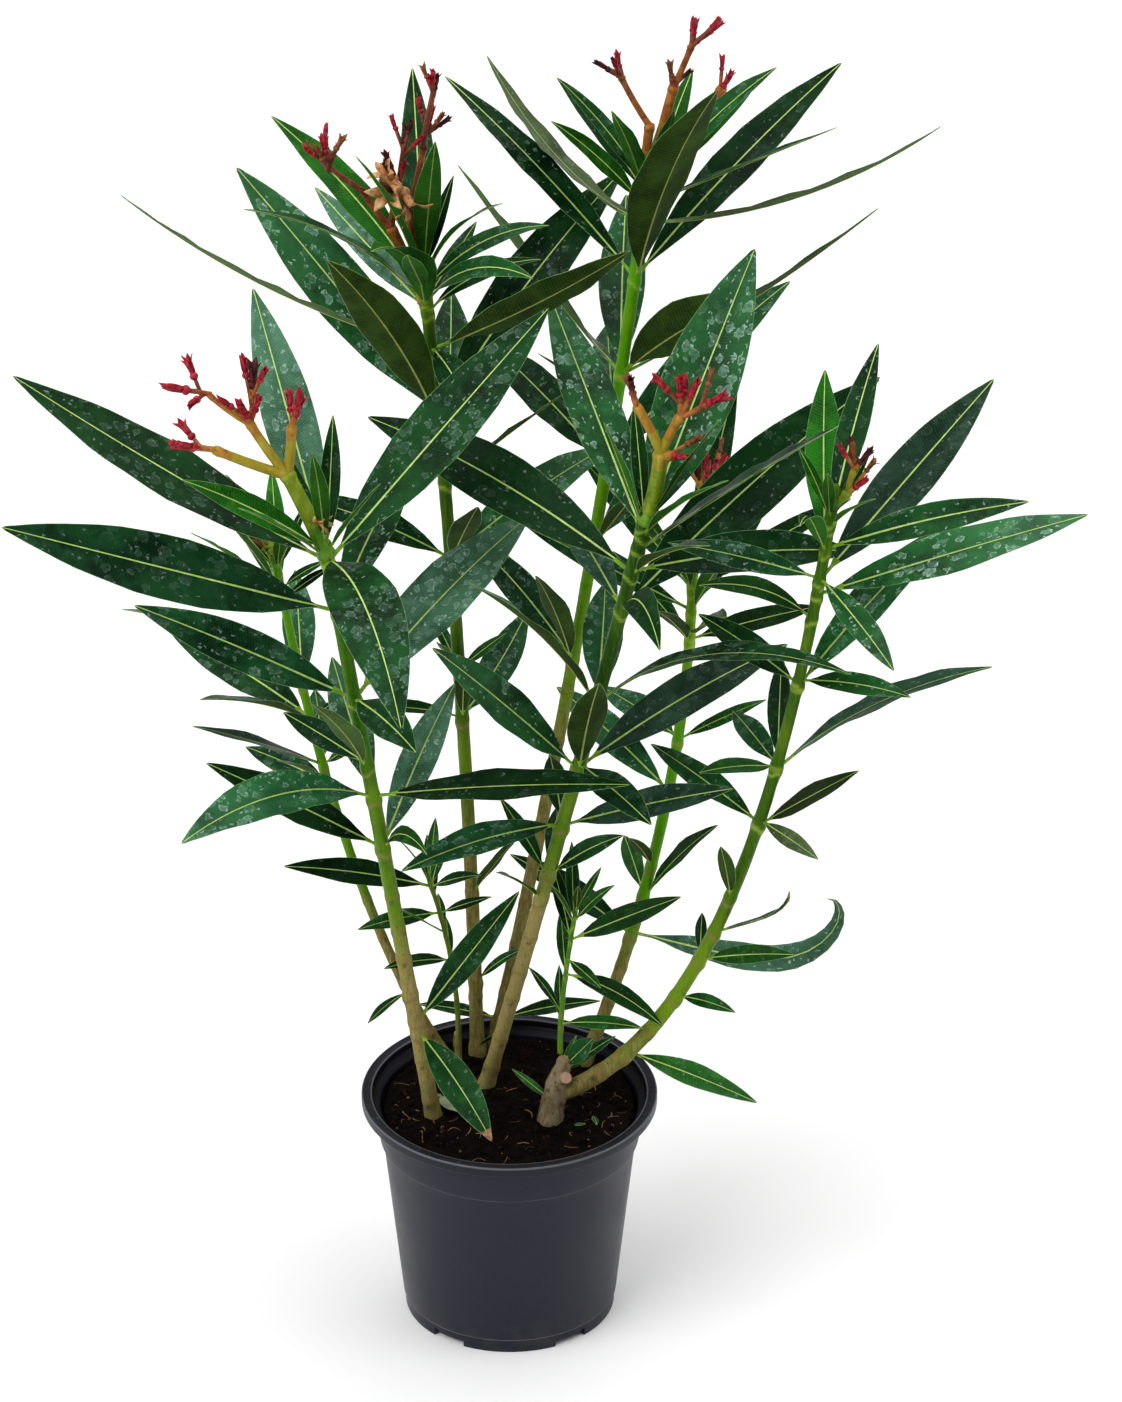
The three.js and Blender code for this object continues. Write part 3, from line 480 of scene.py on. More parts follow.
def atHeight(cane, z):
    # the share t where the cane's height is z: (foot - 2 knee + tip) t^2 + 2 (knee - foot) t + foot - z = 0
    foot, knee, tip = cane["foot"][2], cane["knee"][2], cane["tip"][2]
    a, b, d = foot - 2 * knee + tip, 2 * (knee - foot), foot - z
    if abs(a) < 1e-9:
        return -d / b
    return (-b + math.sqrt(max(b * b - 4 * a * d, 0))) / (2 * a)


def girth(cane, t):
    # the cane's radius at the share t: foot + (tip - foot) t
    return cane["r"][0] + (cane["r"][1] - cane["r"][0]) * t


def turnFrom(centre, azimuth):
    # the turn from centre to azimuth, from -180 to 180 degrees
    return (azimuth - centre + 180) % 360 - 180


def blade(s):
    # half width as a share of the widest: a slim stalk, then sin(pi u^skew)^full
    u = np.clip((s - bladeRule["start"]) / (1 - bladeRule["start"]), 0, 1)
    return np.maximum(bladeRule["least"], np.sin(math.pi * u ** bladeRule["skew"]) ** bladeRule["full"])


def leafFrame(leaf, s):
    # the midrib's angle starts above the rise and falls by bend along the length, as s^curl;
    # the blade's side vector is turned by roll over the first fifth
    steps = bladeRule["steps"]
    flat, side = heading(leaf["az"], 0), heading(leaf["az"] + 90, 0)
    rise, bend, roll = (math.radians(leaf[name]) for name in ("rise", "bend", "roll"))
    tilt = lambda share: rise + bend * (1 / (leaf["curl"] + 1) - share ** leaf["curl"])
    middle, marks = (np.arange(steps) + 0.5) / steps, np.arange(steps + 1) / steps
    out, up = (np.concatenate([[0], np.cumsum(part(tilt(middle))) / steps]) for part in (np.cos, np.sin))
    away = np.interp(s, marks, out)[:, None] * flat + np.interp(s, marks, up)[:, None] * upward
    centre = leaf["base"] + leaf["length"] * (away + (leaf["sway"] * s ** 2)[:, None] * side)
    angle, turn = tilt(s), roll * np.minimum(1, s / bladeRule["rollBy"])
    lift = np.cos(angle)[:, None] * upward - np.sin(angle)[:, None] * flat
    across = side * np.cos(turn)[:, None] + lift * np.sin(turn)[:, None]
    face = lift * np.cos(turn)[:, None] - side * np.sin(turn)[:, None]
    return centre, across, face


def sampled(leaf):
    # rows of 7 points over the blade, its edges raised by the fold, with each point's share of the length
    start, rows = bladeRule["start"], bladeRule["rows"]
    s = start + (1 - start) * np.arange(rows) / (rows - 1)
    share = np.arange(-3, 4) / 3
    centre, across, face = leafFrame(leaf, s)
    half = leaf["width"] / 2 * np.where(s >= 1, 0, blade(s))
    reach = half[:, None] * share
    lift = leaf["fold"] * half[:, None] * np.abs(share)
    points = centre[:, None] + across[:, None] * reach[:, :, None] + face[:, None] * lift[:, :, None]
    return points.reshape(-1, 3), np.repeat(s, len(share))


def turned(azimuth, rise, share):
    # roll that turns a blade that share of the way to the light, up to the most that is allowed
    light = np.array(growth["light"])
    side = heading(azimuth + 90, 0)
    face = np.array([0, 0, math.cos(math.radians(rise))]) - heading(azimuth, 0) * math.sin(math.radians(rise))
    if face @ light < growth["leastFacing"]:
        return 0
    roll = share * math.degrees(math.atan2(-(side @ light), face @ light))
    return max(-growth["mostRoll"], min(growth["mostRoll"], roll))


def growStalks():
    # each stalk runs from its root's end by its length, thinner than its root down to the thinnest
    made = []
    for mass, head in flowerHeads.items():
        ends, girths = [], []
        for i, (root, azimuth, rise, length) in enumerate(head["stalks"]):
            thin = head["r"] if root < 0 else max(growth["thinnest"], growth["stalkTaper"] * girths[root])
            start = np.array(canes[mass]["tip"], float) - [0, 0, head["drop"]] if root < 0 else ends[root]
            girths.append(thin)
            ends.append(start + heading(azimuth, rise) * length)
            made.append({"mass": mass, "from": start, "to": ends[-1], "az": azimuth, "rise": rise, "r": thin,
                         "root": root, "last": all(row[0] != i for row in head["stalks"])})
    return made


def blocked(leaf, points, shares, stems, twigs, placed):
    # true when the blade comes too near a cane, a flower stalk, the pot or a leaf placed before it
    apart = lambda first, second: np.linalg.norm(first[:, None] - second[None], axis=2)
    mass, where = leaf["mass"], shares * leaf["length"]
    for kind, lines in (("cane", stems), ("twig", twigs)):
        for name, line, radii in lines:
            own = name == mass
            near = points[where > clearances[kind + "From"]] if own else points
            if (apart(near, line) - radii).min() < clearances[kind][0 if own else 1]:
                return True
    out = np.hypot(points[:, 0], points[:, 1])
    for place in ("soil", "rim"):
        height, inner, outer = clearances[place]
        if ((points[:, 2] < height) & (out > inner) & (out < outer)).any():
            return True
    low, high, margin, start = points.min(0), points.max(0), clearances["box"], clearances["leafFrom"]
    for other, otherPoints, otherShares, otherLow, otherHigh in placed:
        if ((low > otherHigh + margin) | (high < otherLow - margin)).any():
            continue
        own = other["mass"] == mass
        first = points[where > start] if own else points
        second = otherPoints[otherShares * other["length"] > start] if own else otherPoints
        if len(first) and len(second) and apart(first, second).min() < clearances["leaf"][0 if own else 1]:
            return True
    return False


def growLeaves(stalks):
    # each whorl's leaves in turn; four throws of the dice a leaf, and the first nudge that leaves it clear
    throws, shakes = dice(growth["seed"]), growth["shakes"]
    share, steps = np.linspace(0, 1, 60), np.linspace(0, 1, 12)[:, None]
    stems = [(name, along(cane, share), girth(cane, share)) for name, cane in canes.items()]
    twigs = [(stalk["mass"], stalk["from"] + (stalk["to"] - stalk["from"]) * steps, stalk["r"])
             for stalk in stalks]
    placed = []
    for mass, rows in whorls.items():
        cane = canes[mass]
        for height, turn, sizes in rows:
            t = atHeight(cane, soilTop + height)
            axis, radius = along(cane, t), girth(cane, t)
            for k, size in enumerate(sizes):
                a, b, c, d = (next(throws) for throw in range(4))
                if not size:
                    continue
                length, rise, swing = (list(size) + [0])[:3]
                odd = oddLeaves.get(mass, {}).get((height, k), {})
                top = rows[-1][0] - height < growth["topWithin"] and length < growth["topShorter"]
                top = top and not mass.startswith("young") and mass != "stump"
                broad = odd.get("broad", growth["topBroad"] if top else 1)
                for turnMore, riseMore in growth["nudges"]:
                    azimuth = turn + growth["whorlTurn"] * k + swing + shakes["az"] * a + turnMore
                    lift = rise + riseMore
                    roll = turned(azimuth, lift, growth["toLight"] + shakes["light"] * c) + shakes["roll"] * a
                    leaf = {
                        "mass": mass, "height": height, "k": k, "az": azimuth, "rise": lift, "length": length,
                        "top": top, "base": axis + heading(azimuth, 0) * radius * growth["seat"],
                        "bend": odd.get("bend", growth["bend"] + shakes["bend"] * b),
                        "curl": odd.get("curl", 1), "roll": odd.get("roll", roll),
                        "width": length * (growth["ratio"] + shakes["ratio"] * d) * broad,
                        "sway": shakes["sway"] * d, "fold": growth["fold"] + shakes["fold"] * b,
                    }
                    points, shares = sampled(leaf)
                    if not blocked(leaf, points, shares, stems, twigs, placed):
                        placed.append((leaf, points, shares, points.min(0), points.max(0)))
                        break
    return [row[0] for row in placed]


stalks = growStalks()
leaves = growLeaves(stalks)
print("grown:", len(leaves), "leaves,", len(stalks), "stalk pieces")


# leaves

leafLook = {
    # least length and number of rows; how the rows crowd at both ends, and where the last one stands
    "rows": ((130, 22), (80, 16), (0, 12)), "crowd": 0.45, "stop": 0.988,
    # details are small = 0.45 + 0.55 length / 130 of full size, at most 1
    "small": (0.45, 0.55), "fullLength": 130,
    "thick": 0.5, "stalkThick": 2.2, "stalkHalf": 1.5, "stalkWide": 0.12, "stalkEnd": 0.11,
    # the stalk's own green ends at the first share of the length or at the second in mm
    "greenStalk": (0.075, 9),
    "rib": 0.68, "ribTip": 0.24, "ribMost": 0.45, "ribUnder": 0.9, "ribBeside": 0.35, "ribOver": 0.12,
    "margin": 0.32, "marginMost": 0.22, "wave": 0.9, "beats": (2.0, 3.6), "otherBeat": 1.15,
    "crown": (0.35, 0.65), "flatStalk": 0.7, "veinPitch": 0.0019, "underPitch": 0.0024, "veinLean": -0.45,
    "veinShake": 0.0016, "seed": 41,
}
leafPaints = {
    # upper face: base, darker, lighter, spot strength, vein strength
    "leaf_deep": ("#124416", "#041c07", "#2e7030", 0.3, 0.6),
    "leaf_blue": ("#1d552c", "#072411", "#40824f", 0.7, 0.5),
    "leaf_mid": ("#1f581c", "#092809", "#478c30", 0.25, 0.7),
    "leaf_spotted": ("#1b5424", "#06200b", "#3e7e42", 1.0, 0.5),
    "leaf_wet": ("#3e664e", "#1a3a26", "#7aa288", 0.8, 0.5),
    "leaf_young": ("#1a6a10", "#083e06", "#56a32c", 0.0, 0.6),
    "leaf_olive": ("#4a5c36", "#333f22", "#6d7c55", 0.3, 0.5),
}
underPaints = {
    # under face: base, darker, lighter
    "under_olive": ("#2f4715", "#1a2c0a", "#4e682a"),
    "under_pale": ("#45602f", "#324a22", "#6f8a52"),
    "under_young": ("#2c661a", "#1c4c12", "#4c8a2c"),
    "under_bleached": ("#9aa184", "#7d8468", "#b9bfa6"),
}
dropLook = {
    # the rim paint is partly a dried ring and partly painted glint, the dot paint is painted glint, the tip
    # paint painted sheen
    "film": "#86ab98", "rim": "#a8cbb6", "dot": "#bcd6c8", "tip": "#62936f",
    "rimShare": 0.75, "dotShare": 0.65, "tipSheenShare": 0.22, "warpScale": 300.0, "warp": (0.0048, 0.0048, 0.0),
    "scale": 155.0, "long": (1, 0.72, 1), "dotScale": 520.0, "dotLong": (1, 0.5, 1),
}
leafSheen = (0.75, 1.0, 0.8, 1.0)
barkSheen = (0.9, 1.0, 0.4, 1.0)
potSheen = (0.8, 0.82, 1.0, 1.0)


def sideVeins(tree, pitch, low, shake=None):
    # the blade's spread, the distance from its midrib, and slanting lines where
    # sin(2 pi (length + lean aside + shake) / pitch) is above low
    spread = addNode(tree, "UVMap", uv_map="spread").outputs["UV"]
    split = addNode(tree, "SeparateXYZ", {0: spread})
    aside = reckon(tree, "ABSOLUTE", split.outputs["X"])
    phase = reckon(tree, "MULTIPLY_ADD", aside, leafLook["veinLean"], split.outputs["Y"])
    if shake is not None:
        phase = reckon(tree, "MULTIPLY_ADD", shake, leafLook["veinShake"], phase)
    vein = reckon(tree, "SINE", product(tree, phase, 2 * math.pi / pitch))
    return spread, aside, ranged(tree, vein, low, 1.0)


def dropMarksAndSheen(tree, spots, place, spread, aside, share, tone, colour, rough, normal):
    # cells of the blade's spread: within its limit a cell has a pale film, and at the limit a broken rim that
    # is partly the dried ring and partly painted glint; some small cells hold a droplet painted as a bright
    # glint;
    # fewer near the stalk, along the midrib and on dark leaves; a painted sheen pales the tips, less on dark
    # leaves
    look = dropLook
    inputs = {"Vector": spread, "Scale": look["warpScale"], "Detail": 3.0}
    shake = addNode(tree, "TexNoise", inputs, noise_dimensions="2D").outputs["Color"]
    inputs = {0: shake, 1: look["warp"], 2: spread}
    bent = addNode(tree, "VectorMath", inputs, operation="MULTIPLY_ADD").outputs[0]
    drop = cells(tree, stretched(tree, bent, look["long"]), look["scale"], voronoi_dimensions="2D")
    size = addNode(tree, "SeparateColor", {0: drop["Color"]}).outputs
    limit = ranged(tree, size[0], 0.35, 1.0, 0.1, 0.5, "LINEAR")
    inside = reckon(tree, "SUBTRACT", limit, drop["Distance"])
    present = product(
        tree, ranged(tree, size[0], 0.36, 0.38), clouds(tree, place, 26, 2, 0.38, 0.56, 0.1, 1),
        ranged(tree, share, 0.05, 0.45, 0.25, 1.0), ranged(tree, tone, 0.0, 0.75, 0.4, 1.0),
        ranged(tree, aside, 0.001, 0.006, 0.3, 1.0))
    mottled = clouds(tree, spread, 460, 3, 0.35, 0.6, 0.3, 1, 0.6)
    film = product(tree, ranged(tree, inside, 0.0, 0.05), present, mottled)
    # painted glint: a broken pale rim round each drop, partly its dried ring
    edge = ranged(tree, reckon(tree, "ABSOLUTE", inside), 0.0, 0.075, 1, 0)
    rim = product(tree, edge, present, clouds(tree, spread, 300, 1, 0.38, 0.55, 0.1, 1))
    paleness = ranged(tree, size[1], 0.0, 1.0, 0.22, 0.7, "LINEAR")
    # painted glint: small cells hold a bright droplet
    dots = cells(tree, stretched(tree, bent, look["dotLong"]), look["dotScale"], voronoi_dimensions="2D")
    pick = addNode(tree, "SeparateColor", {0: dots["Color"]}).outputs[1]
    dot = product(tree, ranged(tree, dots["Distance"], 0.12, 0.34, 1, 0), ranged(tree, pick, 0.88, 0.91))
    # painted sheen: paler towards the tip, less on dark leaves
    tipSheen = ranged(tree, share, 0.2, 1.0, 0.0, look["tipSheenShare"] * spots)
    colour = tinted(tree, colour, product(tree, film, paleness, spots), look["film"])
    colour = tinted(tree, colour, product(tree, rim, look["rimShare"] * spots), look["rim"])
    colour = tinted(tree, colour, product(tree, dot, look["dotShare"] * spots), look["dot"])
    colour = tinted(tree, colour, product(tree, tipSheen, ranged(tree, tone, 0.3, 1.0)), look["tip"])
    rough = reckon(tree, "MULTIPLY_ADD", dot, -0.2 * spots, rough)
    rough = reckon(tree, "MULTIPLY_ADD", film, -0.1 * spots, rough)
    normal = relief(tree, film, 0.3 * spots, 0.0004, relief(tree, dot, 0.5 * spots, 0.0006, normal))
    return colour, rough, normal


def leafMaterial(name, base, dark, light, spots, veins):
    # leathery upper face with painted shade along the midrib: cloudy green, fine side veins and what drops
    # left behind, with painted glints and a painted sheen towards the tip; each leaf has its own tone
    material, tree, shader, place = newMaterial(name, Specular_IOR_Level=0.08, Specular_Tint=leafSheen)
    share, tone = attribute(tree, "share"), attribute(tree, "tone")
    spread, aside, line = sideVeins(tree, leafLook["veinPitch"], 0.55, noise(tree, place, 260, 2))
    cloud, grain = noise(tree, place, 30, 4, 0.6), noise(tree, place, 900, 3, 0.6)
    colour = tinted(tree, dark, ranged(tree, cloud, 0.32, 0.62), base)
    # painted shade: darker within a few millimetres of the midrib, where the blade folds
    colour = tinted(tree, colour, ranged(tree, aside, 0.0, 0.006, 0.45, 0.0), dark)
    colour = tinted(tree, colour, clouds(tree, place, 80, 4, 0.5, 0.75, 0, 0.4, 0.65), light)
    colour = tinted(tree, colour, product(tree, line, 0.3 * veins), light)
    colour = tinted(tree, colour, ranged(tree, grain, 0.5, 0.75, 0, 0.2), light)
    rough = ranged(tree, cloud, 0.3, 0.7, 0.33, 0.48)
    normal = relief(tree, grain, 0.12, 0.0003, relief(tree, line, 0.3 * veins, 0.0004))
    if spots:
        colour, rough, normal = dropMarksAndSheen(
            tree, spots, place, spread, aside, share, tone, colour, rough, normal)
    shade = ranged(tree, tone, 0.0, 1.0, 0.3, 1.45, "LINEAR")
    wire(tree, shader, mixed(tree, 1.0, colour, shade, "MULTIPLY"), normal, rough)
    return material


def underMaterial(name, base, dark, light):
    # matte under face: soft clouds, a fine net and faint side veins
    material, tree, shader, place = newMaterial(
        name, Roughness=0.7, Specular_IOR_Level=0.05, Specular_Tint=leafSheen)
    line = sideVeins(tree, leafLook["underPitch"], 0.5)[2]
    net = cells(tree, place, 1300.0, feature="DISTANCE_TO_EDGE")["Distance"]
    colour = tinted(tree, dark, clouds(tree, place, 45, 4, 0.3, 0.7, rough=0.6), base)
    colour = tinted(tree, colour, product(tree, line, 0.25), light)
    colour = tinted(tree, colour, clouds(tree, place, 700, 3, 0.5, 0.8, 0, 0.35), light)
    wire(tree, shader, colour, relief(tree, line, 0.2, 0.0003, relief(tree, net, 0.2, 0.0003)))
    return material


def plainGrain(name, base, light, scale, rough, bumps=0.2, dark=None, streak=None):
    # a small part's skin: its colour clouded towards a lighter and a darker one, with fine grain as relief
    material, tree, shader, place = newMaterial(name, Roughness=rough, Specular_IOR_Level=0.25)
    source = stretched(tree, place, streak) if streak else place
    colour = tinted(tree, base, clouds(tree, source, scale, 4, 0.4, 0.75, rough=0.6), light)
    if dark:
        colour = tinted(tree, colour, clouds(tree, place, scale * 1.7, 3, 0.5, 0.72, 0, 0.8), dark)
    wire(tree, shader, colour, relief(tree, noise(tree, place, scale * 6, 3), bumps, 0.0004))
    return material


leafMaterials = [leafMaterial(name, *colours) for name, colours in leafPaints.items()]
leafMaterials += [underMaterial(name, *colours) for name, colours in underPaints.items()]
leafMaterials += [
    plainGrain("leaf_rib", "#a3c85f", "#cbe48c", 240, 0.42),
    plainGrain("leaf_rib_under", "#8f9a4a", "#b5b868", 240, 0.5),
    plainGrain("leaf_margin", "#54803f", "#8fb074", 300, 0.5),
    plainGrain("leaf_stalk", "#6c9a1c", "#9cc03c", 200, 0.45),
    plainGrain("leaf_brown_tip", "#8a6a45", "#b5936a", 260, 0.6, 0.4, "#5a3d26"),
]
leafSlot = {material.name: i for i, material in enumerate(leafMaterials)}

# upper and under face of some leaves, and the share of the length from which two tips are brown
fixedFaces = {
    ("leaf_young", "under_young"): [
        ("centre_left", 491, 1), ("centre_left", 505, 0), ("centre_back", 557, 0)],
    ("leaf_deep", "under_olive"): [
        ("centre_back", 551, 0), ("centre_back", 499, 2), ("centre_back", 440, 0),
        ("centre_left", 467, 1), ("centre_left", 423, 2)],
    ("leaf_wet", "under_pale"): [("right_back", 80, 0), ("front_left", 320, 0)],
    ("leaf_olive", "under_pale"): [
        ("right", 223, 0), ("right", 225, 0), ("centre_back", 533, 0), ("centre_back", 533, 1),
        ("centre_back", 438, 1), ("centre_left", 467, 2)],
    ("leaf_deep", "under_young"): [
        ("centre_left", 491, 2), ("centre_left", 505, 2), ("centre_left", 512, 2), ("centre_left", 498, 1)],
    ("leaf_spotted", "under_olive"): [("right", 433, 0)],
}
facesOf = {place: faces for faces, places in fixedFaces.items() for place in places}
brownTips = {("front_left", 67, 0): 0.9, ("right", 144, 0): 0.93}


def leafLooks(leaf, roll):
    # which upper and under face a leaf has, by its length, its place on the cane and a throw of the dice
    throw, second = roll.uniform(), roll.uniform()
    if leaf["top"] and leaf["rise"] > 20:
        return ("leaf_young" if throw < 0.5 else "leaf_deep"), "under_young"
    if leaf["mass"].startswith("young") or leaf["mass"] == "stump":
        return "leaf_mid" if throw < 0.7 else "leaf_deep", "under_young" if second < 0.4 else "under_olive"
    under = "under_pale" if second < 0.22 else "under_olive"
    if leaf["length"] >= 115:
        return ("leaf_spotted" if throw < 0.7 else "leaf_blue" if throw < 0.84 else "leaf_wet"), under
    if leaf["length"] >= 85:
        return ("leaf_blue" if throw < 0.5 else "leaf_spotted" if throw < 0.7 else "leaf_deep"), under
    return ("leaf_deep" if throw < 0.55 else "leaf_mid"), under


def leafShell(leaf, roll, looks=None):
    # a closed grid round the blade: centre + across w a + face (fold w crown(a) + wave +- thickness),
    # with a from -1 to 1 over the upper face and back under it, and the midrib raised below;
    # the rows stand at s = x - crowd sin(2 pi x) / (2 pi)
    look, length = leafLook, leaf["length"]
    rows = next(count for least, count in look["rows"] if length >= least)
    x = np.linspace(0, 1, rows)
    s = (x - look["crowd"] * np.sin(2 * math.pi * x) / (2 * math.pi)) * look["stop"]
    centre, across, face = leafFrame(leaf, s)
    small = min(1.0, look["small"][0] + look["small"][1] * length / look["fullLength"])
    half = np.maximum(leaf["width"] / 2 * blade(s), look["stalkHalf"] * small * (1 - s / look["stalkWide"]))
    ribHalf = (look["ribTip"] + (look["rib"] - look["ribTip"]) * (1 - s)) * small ** 1.8
    m = np.minimum(ribHalf / half, look["ribMost"])
    e = 1 - np.minimum(look["margin"] * small / half, look["marginMost"])
    marks = np.stack([np.ones(rows), e, m + (e - m) * 2 / 3, m + (e - m) / 3, m], 1)
    zero = np.zeros((rows, 1))
    a = np.hstack([-marks, zero, marks[:, ::-1], marks[:, 1:], zero, -marks[:, :0:-1]])
    upperRib, underRib = 5, 15
    top = np.array([0.0] + [1.0] * 9 + [0.0] + [-1.0] * 9)
    stalk = np.clip(1 - s / look["stalkEnd"], 0, 1) ** 0.8
    thick = (look["thick"] + (look["stalkThick"] * small - look["thick"]) * stalk) / 2
    body = thick[:, None] * np.sqrt(np.clip(1 - np.abs(a) ** (8 - 6 * stalk)[:, None], 0, 1)) * top
    raised = look["ribUnder"] * small * (1 - s) ** 0.7 * (1 - stalk)
    body[:, underRib] -= raised
    body[:, [underRib - 1, underRib + 1]] -= (raised * look["ribBeside"])[:, None]
    body[:, upperRib] += look["ribOver"] * small * (1 - stalk)
    swing = roll.uniform(0, 2 * math.pi, 2)
    beat = roll.uniform(*look["beats"]) * length / look["fullLength"]
    wave = np.where(a < 0, np.sin(2 * math.pi * beat * s[:, None] + swing[0]),
                    np.sin(2 * math.pi * beat * look["otherBeat"] * s[:, None] + swing[1]))
    wave = wave * np.abs(a) ** 2 * look["wave"] * small * np.sin(math.pi * s)[:, None]
    crown = look["crown"][0] * np.abs(a) + look["crown"][1] * a ** 2
    lift = leaf["fold"] * half[:, None] * crown * (1 - look["flatStalk"] * stalk[:, None]) + wave
    points = centre[:, None] + across[:, None] * (half[:, None] * a)[:, :, None]
    points = points + face[:, None] * (lift + body)[:, :, None]
    looks = looks or leafLooks(leaf, roll)
    row = [name for skin, rib in zip(looks, ("leaf_rib", "leaf_rib_under"))
           for name in ["leaf_margin"] + [skin] * 3 + [rib] * 2 + [skin] * 3 + ["leaf_margin"]]
    slots = np.tile([leafSlot[name] for name in row], (rows - 1, 1))
    slots[s[:-1] < min(look["greenStalk"][0], look["greenStalk"][1] / length)] = leafSlot["leaf_stalk"]
    if leaf.get("brownTip"):
        slots[s[:-1] > leaf["brownTip"]] = leafSlot["leaf_brown_tip"]
    own = roll.uniform(0, 50)  # so that no two leaves have the same marks
    uv = np.stack([half[:, None] * a * mm, np.broadcast_to((s * length * mm)[:, None] + own, a.shape)], -1)
    end = leafFrame(leaf, np.array([1.0]))[0][0]
    values = {"share": np.broadcast_to(s[:, None], a.shape), "tone": np.full(a.shape, roll.uniform())}
    slots = np.roll(slots[:, ::-1], -1, 1)
    return gridShell(points[:, ::-1], slots, uv[:, ::-1], values, tips=(None, end))


def makeLeaves():
    # the leaves of each cane are one piece, in place of its mass of foliage and its low leaves
    roll = np.random.default_rng(leafLook["seed"])
    masses = {}
    for leaf in leaves:
        place = (leaf["mass"], leaf["height"], leaf["k"])
        leaf["brownTip"] = brownTips.get(place)
        masses.setdefault(leaf["mass"], []).append(leafShell(leaf, roll, facesOf.get(place)))
    for mass, shells in masses.items():
        names = [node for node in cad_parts
                 if node == "foliage_" + mass or node.rsplit("_", 1)[0] == "low_leaf_" + mass]
        makePiece("leaves_" + mass, shells, leafMaterials, names)


makeLeaves()


# canes

barkLook = {
    "columns": 20, "step": 1.6, "sunk": 5.0, "youngStart": -0.02, "slim": 0.92, "stoutFade": 40,
    "tipSheenShare": 0.55,
    # marks have their full size on a cane of this radius
    "fullGirth": 4.5, "lump": 0.12, "lumpCell": 9, "lumpsRound": 8,
    "collar": 0.42, "collarWide": 2.6, "collarBelow": 1.5, "collarDip": 3.2, "dipWide": 42,
    "ringBelow": 1.2, "ringWide": 1.2, "cushion": 0.75, "cushionWide": (38, 4.0), "cushionBelow": 2.5,
    # old nodes on bare wood: their spacing, then amount, how far below the node and how tall each mark is
    "scarGap": (20, 34), "scarStart": 14, "scarClear": 9, "oldCushionWide": 24, "oldScarWide": 15,
    "oldCollar": (0.3, 0, 2.2), "oldRing": (0.9, -1.2, 1.0), "oldCushion": (0.35, 2.2, 2.2),
    "oldScar": (0.9, 1.8, 1.5),
}
barkPaints = {
    "wood": "#665c30", "woodLight": "#93854f", "moss": "#58621a", "fleck": "#b0a064", "pale": "#a8995f",
    "old": "#8a7a66", "crack": "#43342a", "wearAndHighlight": "#b3a28c", "streak": "#7ea420", "shade": "#1c3c06",
    "lime": "#86a41a", "speck": "#3d3018", "ringLow": "#806a3a", "ringTop": "#9ab83e", "scar": "#3f3222",
    "cut": "#b8937a",
}


def caneMaterial(name, cane):
    # bark that turns from tan, streaked wood to green skin with height, pale rings at the nodes, dark scars
    material, tree, shader, place = newMaterial(
        "bark_" + name, Specular_IOR_Level=0.16, Specular_Tint=barkSheen)
    height = addNode(tree, "SeparateXYZ", {0: place}).outputs["Z"]
    level = reckon(tree, "MULTIPLY_ADD", noise(tree, place, 55, 3), 0.05, height)
    change = (soilTop + cane["woodTo"]) * mm
    above = lambda value, start, end, *between: ranged(tree, value, change + start, change + end, *between)

    def over(colour, kind, value, *between):
        # lays a paint over the colour, from none to all of it as the value goes between two numbers
        return tinted(tree, colour, ranged(tree, value, *between), barkPaints[kind])

    streaky = noise(tree, stretched(tree, place, (1, 1, 0.07)), 700, 4, 0.65)
    fine = noise(tree, stretched(tree, place, (1, 1, 0.15)), 1800, 3)
    blotch = noise(tree, place, 150, 4, 0.6)
    wood = over(barkPaints["wood"], "woodLight", streaky, 0.3, 0.7)
    wood = over(wood, "moss", blotch, 0.45, 0.75, 0, 0.75)
    wood = over(wood, "fleck", fine, 0.58, 0.85, 0, 0.5)
    if "pale" in cane:
        wood = tinted(tree, wood, cane["pale"], barkPaints["pale"])
    if name == "stump":
        crack = noise(tree, stretched(tree, place, (1, 1, 0.35)), 330, 3, 0.6, 0.6)
        wood = over(wood, "old", blotch, 0.3, 0.7, 0.45, 0.9)
        wood = over(wood, "crack", crack, 0.54, 0.64, 0, 0.75)
        wood = over(wood, "wearAndHighlight", crack, 0.44, 0.34, 0, 0.5)
    skin = tinted(tree, cane["lower"], above(height, 0, 0.16), cane["green"])
    skin = over(skin, "streak", streaky, 0.4, 0.75, 0, 0.22)
    skin = over(skin, "shade", blotch, 0.48, 0.78, 0, 0.35)
    skin = over(skin, "lime", noise(tree, place, 16, 1), 0.45, 0.7, 0, 0.4)
    colour = mixed(tree, above(level, 0, 0.06), wood, skin)
    speck = cells(tree, stretched(tree, place, (1, 1, 0.6)), 420.0)["Distance"]
    spot = product(tree, ranged(tree, speck, 0.1, 0.22, 1, 0), above(level, 0.05, 0.12, 0.6, 0.1))
    colour = tinted(tree, colour, spot, barkPaints["speck"])
    ring = tinted(tree, barkPaints["ringLow"], above(height, 0.08, 0.2), barkPaints["ringTop"])
    colour = mixed(tree, product(tree, attribute(tree, "ring"), 0.8), colour, ring)
    for mark in ("scar", "cut"):
        colour = tinted(tree, colour, attribute(tree, mark), barkPaints[mark])
    woody = product(tree, streaky, above(level, 0, 0.06, 0.7, 0.15))
    normal = relief(tree, fine, 0.2, 0.0003, relief(tree, woody, 0.45, 0.0006))
    wire(tree, shader, colour, normal, above(level, 0, 0.08, 0.78, 0.4))
    return material


